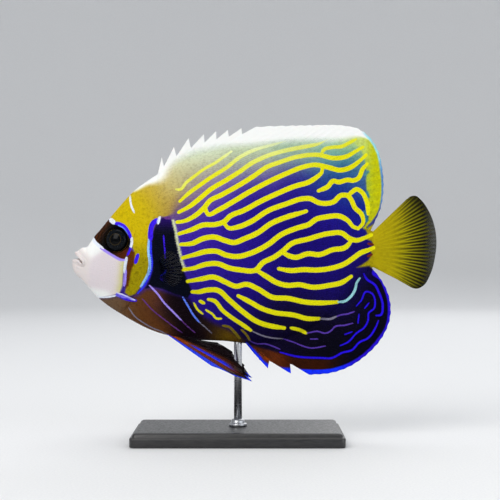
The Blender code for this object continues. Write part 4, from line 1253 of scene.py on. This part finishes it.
def ray_field(kind, grid):
    """How much each place of a sheet lies on a ray, against its neighbours across the fin."""
    half = grid[..., 1]
    if kind == "body":
        return np.zeros(half.size)
    if kind == "tail":
        low = np.minimum(np.roll(half, 4, axis=1), np.roll(half, -4, axis=1))
        return np.clip((half - low) / 0.06, 0, 1).ravel()
    return np.clip((half - np.roll(half, 3, axis=0)) / 0.08, 0, 1).ravel()


def build_skin():
    """The whole fish's skin, its median fins and its markings as one mesh."""
    xs = stations()
    body = body_grid(xs)
    body[0, :, 1] = 0
    on_head = xs < HEAD_REAR
    head = body[on_head]
    relief = head_relief(head[..., [0, 2]].reshape(-1, 2)).reshape(head.shape[:2])
    relief *= smoothstep(0, 0.6, head[..., 1])
    body[on_head] += relief[..., None] * grid_normals(body)[on_head]
    body[..., 1] = np.maximum(body[..., 1], 0)
    drawn_back = open_mouth(body).reshape(-1, 1)
    grids = {"body": body, "dorsal": dorsal_grid(xs), "anal": anal_grid(xs), "tail": tail_grid(body[-1])}
    sheets = []
    for kind, grid in grids.items():
        flat = grid[..., [0, 2]].reshape(-1, 2)
        values = markings(flat, np.full(len(flat), kind == "tail"), ray_field(kind, grid))
        if kind == "body":
            # The skin drawn back between the lips takes the dark mouth paint, painted shade inside the open
            # mouth
            inner = linear(paint("mouth")[None])
            values["ground"] = values["ground"] * (1 - drawn_back) + inner * drawn_back
            values["line"] = np.where(drawn_back[:, 0] > 0.2, -2, values["line"])
        sheets.append((grid, values))
    skin = add_mesh("fish_skin", *joined(sheets), merge=2e-6)
    dress(
        skin, fish_material("fish_skin_painted", False), "body_violet", "head", "upper_jaw", "lower_jaw",
        "gill_cover_left", "gill_cover_right", "torso", "tail_stalk", "dorsal_fin_spiny", "dorsal_fin_soft",
        "anal_fin", "tail_fin",
    )
    return xs, grids


def sample(grid, row, column):
    """A grid's values at fractional rows and columns."""
    i = np.clip(row.astype(int), 0, grid.shape[0] - 2)
    j = np.clip(column.astype(int), 0, grid.shape[1] - 2)
    a, b = (row - i)[:, None], (column - j)[:, None]
    low = grid[i, j] * (1 - b) + grid[i, j + 1] * b
    high = grid[i + 1, j] * (1 - b) + grid[i + 1, j + 1] * b
    return low * (1 - a) + high * a


def scale_places(grid, along, pitches, last_column):
    """Staggered rows of places on a grid, as fractional rows and columns."""
    rows, columns = [], []
    position, number = along[0] + 0.6, 0
    while position < along[-1] - 0.6:
        pitch, across = (np.interp(position, PITCH_PLACES, pitch) for pitch in pitches)
        row = np.interp(position, along, np.arange(len(along)))
        length = lengths_along(grid[int(row)])
        count = max(2, int(length[last_column] / across))
        spots = (np.arange(count) + (0.25 if number % 2 else 0.75)) * length[last_column] / count
        rows.append(np.full(count, row))
        columns.append(np.interp(spots, length, np.arange(len(length))))
        position += pitch
        number += 1
    return np.concatenate(rows), np.concatenate(columns)


def build_scales(name, grid, along, pitches, last_column, keep, corner, material):
    """Solid scales over one sheet of the skin, on both sides, one mesh a side."""
    row, column = scale_places(grid, along, pitches, last_column)
    kept = keep(sample(grid, row, column))
    rng = np.random.default_rng(SCALE_SEED)
    row, column = (places[kept] for places in (row, column))
    row = np.clip(row + rng.normal(0, SCALE_JITTER, len(row)), 0, grid.shape[0] - 1)
    column = np.clip(column + rng.normal(0, SCALE_JITTER, len(row)), 0, grid.shape[1] - 1)
    centre = sample(grid, row, column)
    up = unit(sample(grid_normals(grid), row, column))
    tailward = sample(unit(np.gradient(grid, axis=0)), row, column)
    tailward = unit(tailward - up * np.sum(tailward * up, axis=1, keepdims=True))
    size = rng.uniform(0.9, 1.1, len(centre))
    lift = rng.uniform(0.8, 1.2, len(centre))
    long, wide = (np.interp(centre[:, 0], PITCH_PLACES, pitch) * size for pitch in pitches)
    ways = np.stack([
        SCALE_LONG * long[:, None] * tailward, SCALE_WIDE * wide[:, None] * np.cross(up, tailward),
        lift[:, None] * up,
    ], axis=1)
    points = centre[:, None] + SCALE_SHAPE @ ways
    flat = points.reshape(-1, 3)
    values = markings(flat[:, [0, 2]], np.zeros(len(flat), bool), np.zeros(len(flat)))
    first = (np.arange(len(centre)) * len(SCALE_SHAPE))[:, None, None]
    faces = (SCALE_FACES + first).reshape(-1, 3)
    share = np.stack([row / (grid.shape[0] - 1), column / (grid.shape[1] - 1)], axis=1)
    patch = corner + share * SHEET_ROOM
    uv = (patch[:, None] + SCALE_SHAPE[None, :, :2] * PATCH).reshape(-1, 2)
    for side_name, side in SIDES:
        turned = faces if side < 0 else faces[:, ::-1]
        piece = add_mesh(f"{name}_{side_name}", to_row(flat, side), turned, values)
        corners = uv[turned.ravel()] + (0 if side < 0 else RIGHT_HALF, 0)
        layer = piece.data.uv_layers.new(name="OFBake")
        layer.data.foreach_set("uv", corners.astype(np.float32).ravel())
        dress(piece, material, "body_violet")


def on_scaly_body(centre):
    """Where the body is scaled: not on the eye, the lips, the nostrils or the thin edges."""
    places = centre[:, [0, 2]]
    scaly = (places[:, 0] > -73.0 + 0.25 * (places[:, 1] + 7)) & (centre[:, 1] > 0.5)
    for bare, reach in ((EYE_CENTRE, EYE_RADIUS + 1.7), (NOSTRILS[0], 1.6), (NOSTRILS[1], 1.6)):
        scaly &= np.hypot(*(places - bare).T) > reach
    return scaly


def on_thick_skin(centre):
    return centre[:, 1] > 0.12


def on_scaly_dorsal(centre):
    """Where the dorsal fin is scaled: up to its smooth white edge."""
    places = centre[:, [0, 2]]
    white = curve_through(EDGE_WHITE)(to_photo(places)[:, 0])
    return on_thick_skin(centre) & (dorsal_depth(places) > white + 3)


def build_coat(xs, grids):
    material = fish_material("fish_scales_painted", True)
    build_scales(
        "scales_body", grids["body"], xs, BODY_PITCH, SIDE_POINTS - 1, on_scaly_body, (0.01, 0.01), material,
    )
    last = int(FIN_ROWS * SCALED_SHARE_OF_FIN)
    for kind, keep, place in (("dorsal", on_scaly_dorsal, 0.66), ("anal", on_thick_skin, 0.84)):
        fin = grids[kind]
        build_scales("scales_" + kind, fin, fin[:, 0, 0], FIN_PITCH, last, keep, (0.01, place), material)


def build_eyes():
    """Domed eyes, set and turned as their solids are."""
    rings, around = 40, 72
    theta = np.linspace(0, math.radians(112), rings)
    phi = np.linspace(0, 2 * math.pi, around + 1)[:-1]
    out = np.sin(theta)
    depth = EYE_HALF_DEPTH * np.cos(theta) + CORNEA_BULGE * bell(out, 0.5)
    middle = float(flank(*EYE_CENTRE))
    material = eye_material()
    for side_name, side in SIDES:
        axis = Vector((-math.sin(EYE_TOE_IN), side * math.cos(EYE_TOE_IN), math.sin(EYE_TILT_UP)))
        axis.normalize()
        level = Vector((0, 0, 1)).cross(axis).normalized()
        ring = np.cos(phi)[:, None] * np.array(level) + np.sin(phi)[:, None] * np.array(axis.cross(level))
        centre = np.array([EYE_CENTRE[0], side * (middle + EYE_BULGE - EYE_HALF_DEPTH), EYE_CENTRE[1]])
        local = out[:, None, None] * EYE_RADIUS * ring + depth[:, None, None] * np.array(axis)
        points = (centre + local).reshape(-1, 3)
        forward = EYE_CENTRE[0] - points[:, 0] + 0.6 * (points[:, 2] - EYE_CENTRE[1])
        values = {
            "out": np.repeat(np.where(theta > math.pi / 2, 1.0, out), around),
            "around": np.clip(forward, -6, 6) / 12 + 0.5,
        }
        placed, faces = to_row(points, 1), ring_quads(rings, around)
        eye = add_mesh("eyeball_" + side_name, placed, faces, values, merge=MERGE)
        dress(eye, material, "eye_dark", "eye_" + side_name)


def build_cheek_spines():
    """The pointed spine at the corner of each cheek, slightly flattened, with a fine groove."""
    material = spine_material()
    steps, around = 60, 32
    share = np.linspace(0, 1, steps)
    ends = np.array([CHEEK_SPINE[0], CHEEK_SPINE[-1]])
    root, tip = np.insert(ends, 1, flank(*ends.T) + CHEEK_SPINE_LIFTS, axis=1)
    line = root + share[:, None] * (tip - root)
    line[:, 1] += 0.35 * np.sin(math.pi * share)
    radius = CHEEK_SPINE_RADIUS * (1 - 0.8 * share) * rounding(1 - share, 0.04)
    turn = np.linspace(0, 2 * math.pi, around + 1)[:-1]
    along = unit(line[-1] - line[0])
    aside = unit(np.cross(along, (0, 1, 0)))
    outward = np.cross(aside, along)
    outward *= np.sign(outward[1])
    groove = 1 - 0.12 * bell(turn - math.pi / 2, 0.35)
    circle = np.cos(turn)[:, None] * aside + 0.8 * (np.sin(turn) * groove)[:, None] * outward
    points = line[:, None] + radius[:, None, None] * circle
    # Painted highlight: the spine's top is painted white by its height above the middle line, and its tip is
    # made pale
    upper = np.clip(points[..., 2] - line[:, None, 2], 0, None) / CHEEK_SPINE_RADIUS
    pale = np.clip(upper * 1.2 + 0.6 * smoothstep(0.7, 1, share)[:, None], 0, 1).ravel()
    for side_name, side in SIDES:
        placed = to_row(points.reshape(-1, 3), side)
        faces = ring_quads(steps, around)
        spine = add_mesh("cheek_spine_bone_" + side_name, placed, faces, {"pale": pale}, merge=MERGE)
        dress(spine, material, "spine_blue", "cheek_spine_" + side_name)


def paired_fin(name, root_points, tip_points, rays, camber, lead, colours, material, slot, node):
    """A pectoral or pelvic fin on each side, with ridged rays that reach a little past the membrane.

    colours gives the paint of a ray number share and a share of the way out, and lead is the first
    ray's half thickness in millimetres.
    """
    per_ray, rows = 12, 60
    fan = np.linspace(0, 1, (rays - 1) * per_ray + 1)
    share = np.linspace(0, 1, rows + 1)
    number = fan[:, None] * (rays - 1)
    root, tip = path_through(root_points)(fan), path_through(tip_points)(fan)
    tip = tip - (tip - root) * 0.05 * (1 - ridge_profile(number, 0.16)) * np.minimum(1, 6 * fan)[:, None]
    middle = root[:, None] + share[None, :, None] * (tip - root)[:, None]
    normal = unit(np.cross(np.gradient(middle, axis=0), np.gradient(middle, axis=1)))
    middle = middle + normal * (camber * np.sin(math.pi * share))[:, None]
    ray = forked(number, 0.16 * smoothstep(0.45, 1.0, share), 0.15)
    first = bell(number, 0.45)
    half = 0.11 + 0.2 * ray * (1 - 0.55 * share) + 0.5 * np.exp(-share * 9)
    half = half + first * lead * (1 - 0.75 * share)
    half = half * rounding(np.minimum(fan, 1 - fan), 0.01)[:, None] * rounding(1 - share, 0.03)
    solid = np.maximum(first, np.exp(-share * 7))
    painted = linear(colours(np.repeat(fan, rows + 1), np.tile(share, len(fan))))
    values = {"ground": painted, "ray": ray.ravel(), "solid": solid.ravel()}
    values = {key: np.concatenate([value, value]) for key, value in values.items()}
    quads = grid_quads(len(fan), rows + 1)
    faces = np.concatenate([quads, quads[:, ::-1] + len(fan) * (rows + 1)])
    faces_out = half[..., None] * normal
    points = np.concatenate([(middle + faces_out).reshape(-1, 3), (middle - faces_out).reshape(-1, 3)])
    for side_name, side in SIDES:
        fin = add_mesh(f"{name}_{side_name}", to_row(points, -side), faces, values, merge=MERGE)
        dress(fin, material, slot, f"{node}_{side_name}")


def seen(*colour):
    return np.array(colour, float) / 255


def pectoral_colours(fan, share):
    """Dark smoky grey, violet where the fin meets the body."""
    base = mixed(seen(5, 6, 11), seen(24, 26, 36), smoothstep(0.3, 1, share) * 0.5)
    return mixed(base, "line_violet", 0.75 * smoothstep(0.75, 1.0, fan) * smoothstep(0.6, 0.1, share))


def pelvic_colours(fan, share):
    """Blue leading edge, orange-brown rays with dark skin between, a blue streak and dark inner rays."""
    orange = smoothstep(0.16, 0.24, fan) * smoothstep(0.72, 0.46, fan)
    orange *= (0.7 + 0.3 * np.cos(2 * math.pi * fan * 15)) * (1 - 0.4 * share) * smoothstep(1.0, 0.7, share)
    edge = np.maximum(smoothstep(0.24, 0.15, fan), smoothstep(0.94, 0.965, share) * (fan < 0.46))
    streak = smoothstep(0.38, 0.42, fan) * smoothstep(0.53, 0.48, fan)
    streak *= smoothstep(0.14, 0.3, share) * smoothstep(0.86, 0.66, share)
    base = mixed(seen(16, 6, 10), seen(204, 92, 10), orange)
    return mixed(mixed(base, seen(44, 70, 250), edge), seen(36, 52, 244), streak)


def lathe(name, profile, around=64):
    """A turned piece round the stand's axis from (radius, height) points in millimetres."""
    turn = np.linspace(0, 2 * math.pi, around + 1)[:-1]
    circle = np.stack([np.cos(turn), np.sin(turn), np.zeros(around)], axis=1)
    points = np.concatenate([radius * circle + (0, 0, height) for radius, height in profile]) * MM
    faces = ring_quads(len(profile), around)[:, [0, 3, 2, 1]]
    return add_mesh(name, points, faces, {}, merge=1e-7)


def rounded_rectangle(half_x, half_y, corner, steps=10):
    angle = np.linspace(0, math.pi / 2, steps)
    quarters = []
    for turn, signs in enumerate(((1, 1), (-1, 1), (-1, -1), (1, -1))):
        a = angle + turn * math.pi / 2
        middle = np.multiply(signs, (half_x - corner, half_y - corner))
        quarters.append(middle + corner * np.stack([np.cos(a), np.sin(a)], axis=1))
    return np.concatenate(quarters)


def build_plinth():
    """A base with a moulded edge, from rings that step in by an inset at each height."""
    rings = []
    for inset, height in BASE_EDGE:
        corner = max(0.5, BASE_CORNER + inset * 0.4)
        flat = rounded_rectangle(BASE_HALF_LENGTH + inset, BASE_HALF_WIDTH + inset, corner)
        rings.append(np.insert(flat, 2, height, axis=1))
    count = len(rings[0])
    faces = ring_quads(len(rings), count)[:, [0, 3, 2, 1]]
    base = add_mesh("stand_plinth", np.concatenate(rings) * MM, faces, {})
    bm = bmesh.new()
    bm.from_mesh(base.data)
    bm.verts.ensure_lookup_table()
    bm.faces.new(bm.verts[-count:])
    bm.faces.new(bm.verts[:count][::-1])
    bmesh.ops.recalc_face_normals(bm, faces=bm.faces)
    bm.to_mesh(base.data)
    bm.free()
    dress(base, lacquer_material(), "stand_black", "stand_base")


def build_stand():
    """A lacquered base, a turned foot and a steel rod that ends just inside the belly."""
    build_plinth()
    steel = steel_material()
    dress(lathe("stand_foot_turned", FOOT_PROFILE), steel, "rod_steel", "stand_collar")
    belly_height = AXIS_HEIGHT / MM + float(belly(0.0))
    top = belly_height + ROD_IN_BELLY
    rod_profile = [
        (0, ROD_BOTTOM), (ROD_RADIUS, ROD_BOTTOM), (ROD_RADIUS, belly_height - 1.2),
        (ROD_RADIUS, top), (0, top),
    ]
    dress(lathe("stand_rod_brushed", rod_profile, 48), steel, "rod_steel", "stand_rod")


def build_stage():
    """A pale floor that curves up into a wall all round, far from the model."""
    profile = [(0, 0), (500, 0), (1200, 0), (FLOOR_RADIUS, 0)]
    for a in np.linspace(0.1, math.pi / 2, 14):
        profile.append((FLOOR_RADIUS + WALL_CURVE * math.sin(a), WALL_CURVE - WALL_CURVE * math.cos(a)))
    profile.append((FLOOR_RADIUS + WALL_CURVE, WALL_HEIGHT))
    floor = lathe("studio_floor", profile, 96)
    floor.data.materials.append(stage_material())


def add_light(name, place, size, power, colour):
    light = bpy.data.lights.new(name, "AREA")
    light.size, light.energy, light.color = size, power, colour
    lamp = bpy.data.objects.new(name, light)
    lamp.location = place
    to_fish = Vector((0, 0, AXIS_HEIGHT)) - Vector(place)
    lamp.rotation_euler = to_fish.to_track_quat("-Z", "Y").to_euler()
    bpy.context.scene.collection.objects.link(lamp)


def build_light_and_camera():
    add_light("key", (-0.7, -1.1, 1.1), 1.0, 15, (1.0, 0.98, 0.95))
    add_light("fill", (1.2, -0.9, 0.5), 1.2, 6.5, (0.94, 0.97, 1.0))
    add_light("top", (0.1, 0.3, 1.6), 1.2, 9, (1.0, 1.0, 1.0))
    add_light("rear", (0.5, 1.3, 0.9), 1.0, 5, (1.0, 1.0, 1.0))
    world = bpy.data.worlds.new("studio")
    world.use_nodes = True
    background = world.node_tree.nodes["Background"].inputs
    background["Color"].default_value = (0.9, 0.92, 0.95, 1.0)
    background["Strength"].default_value = 0.5
    scene = bpy.context.scene
    scene.world = world
    scene.view_settings.view_transform = "Standard"
    camera = bpy.data.cameras.new("camera")
    camera.lens, camera.sensor_width = 100, 36
    viewer = bpy.data.objects.new("camera", camera)
    viewer.location = (0.006, -0.694, AXIS_HEIGHT)
    viewer.rotation_euler = (math.pi / 2, 0, 0)
    scene.collection.objects.link(viewer)
    scene.camera = viewer


build_light_and_camera()
build_stage()
STATIONS, GRIDS = build_skin()
build_coat(STATIONS, GRIDS)
build_eyes()
build_cheek_spines()
paired_fin(
    "pectoral_web", PECTORAL_ROOT, PECTORAL_TIP, 15, 1.6, 0.1, pectoral_colours,
    fin_material("pectoral_smoky", 0.82), "fin_dark", "pectoral_fin",
)
paired_fin(
    "pelvic_web", PELVIC_ROOT, PELVIC_TIP, 6, 0.8, 0.35, pelvic_colours,
    fin_material("pelvic_banded", 0.22), "fin_orange", "pelvic_fin",
)
build_stand()
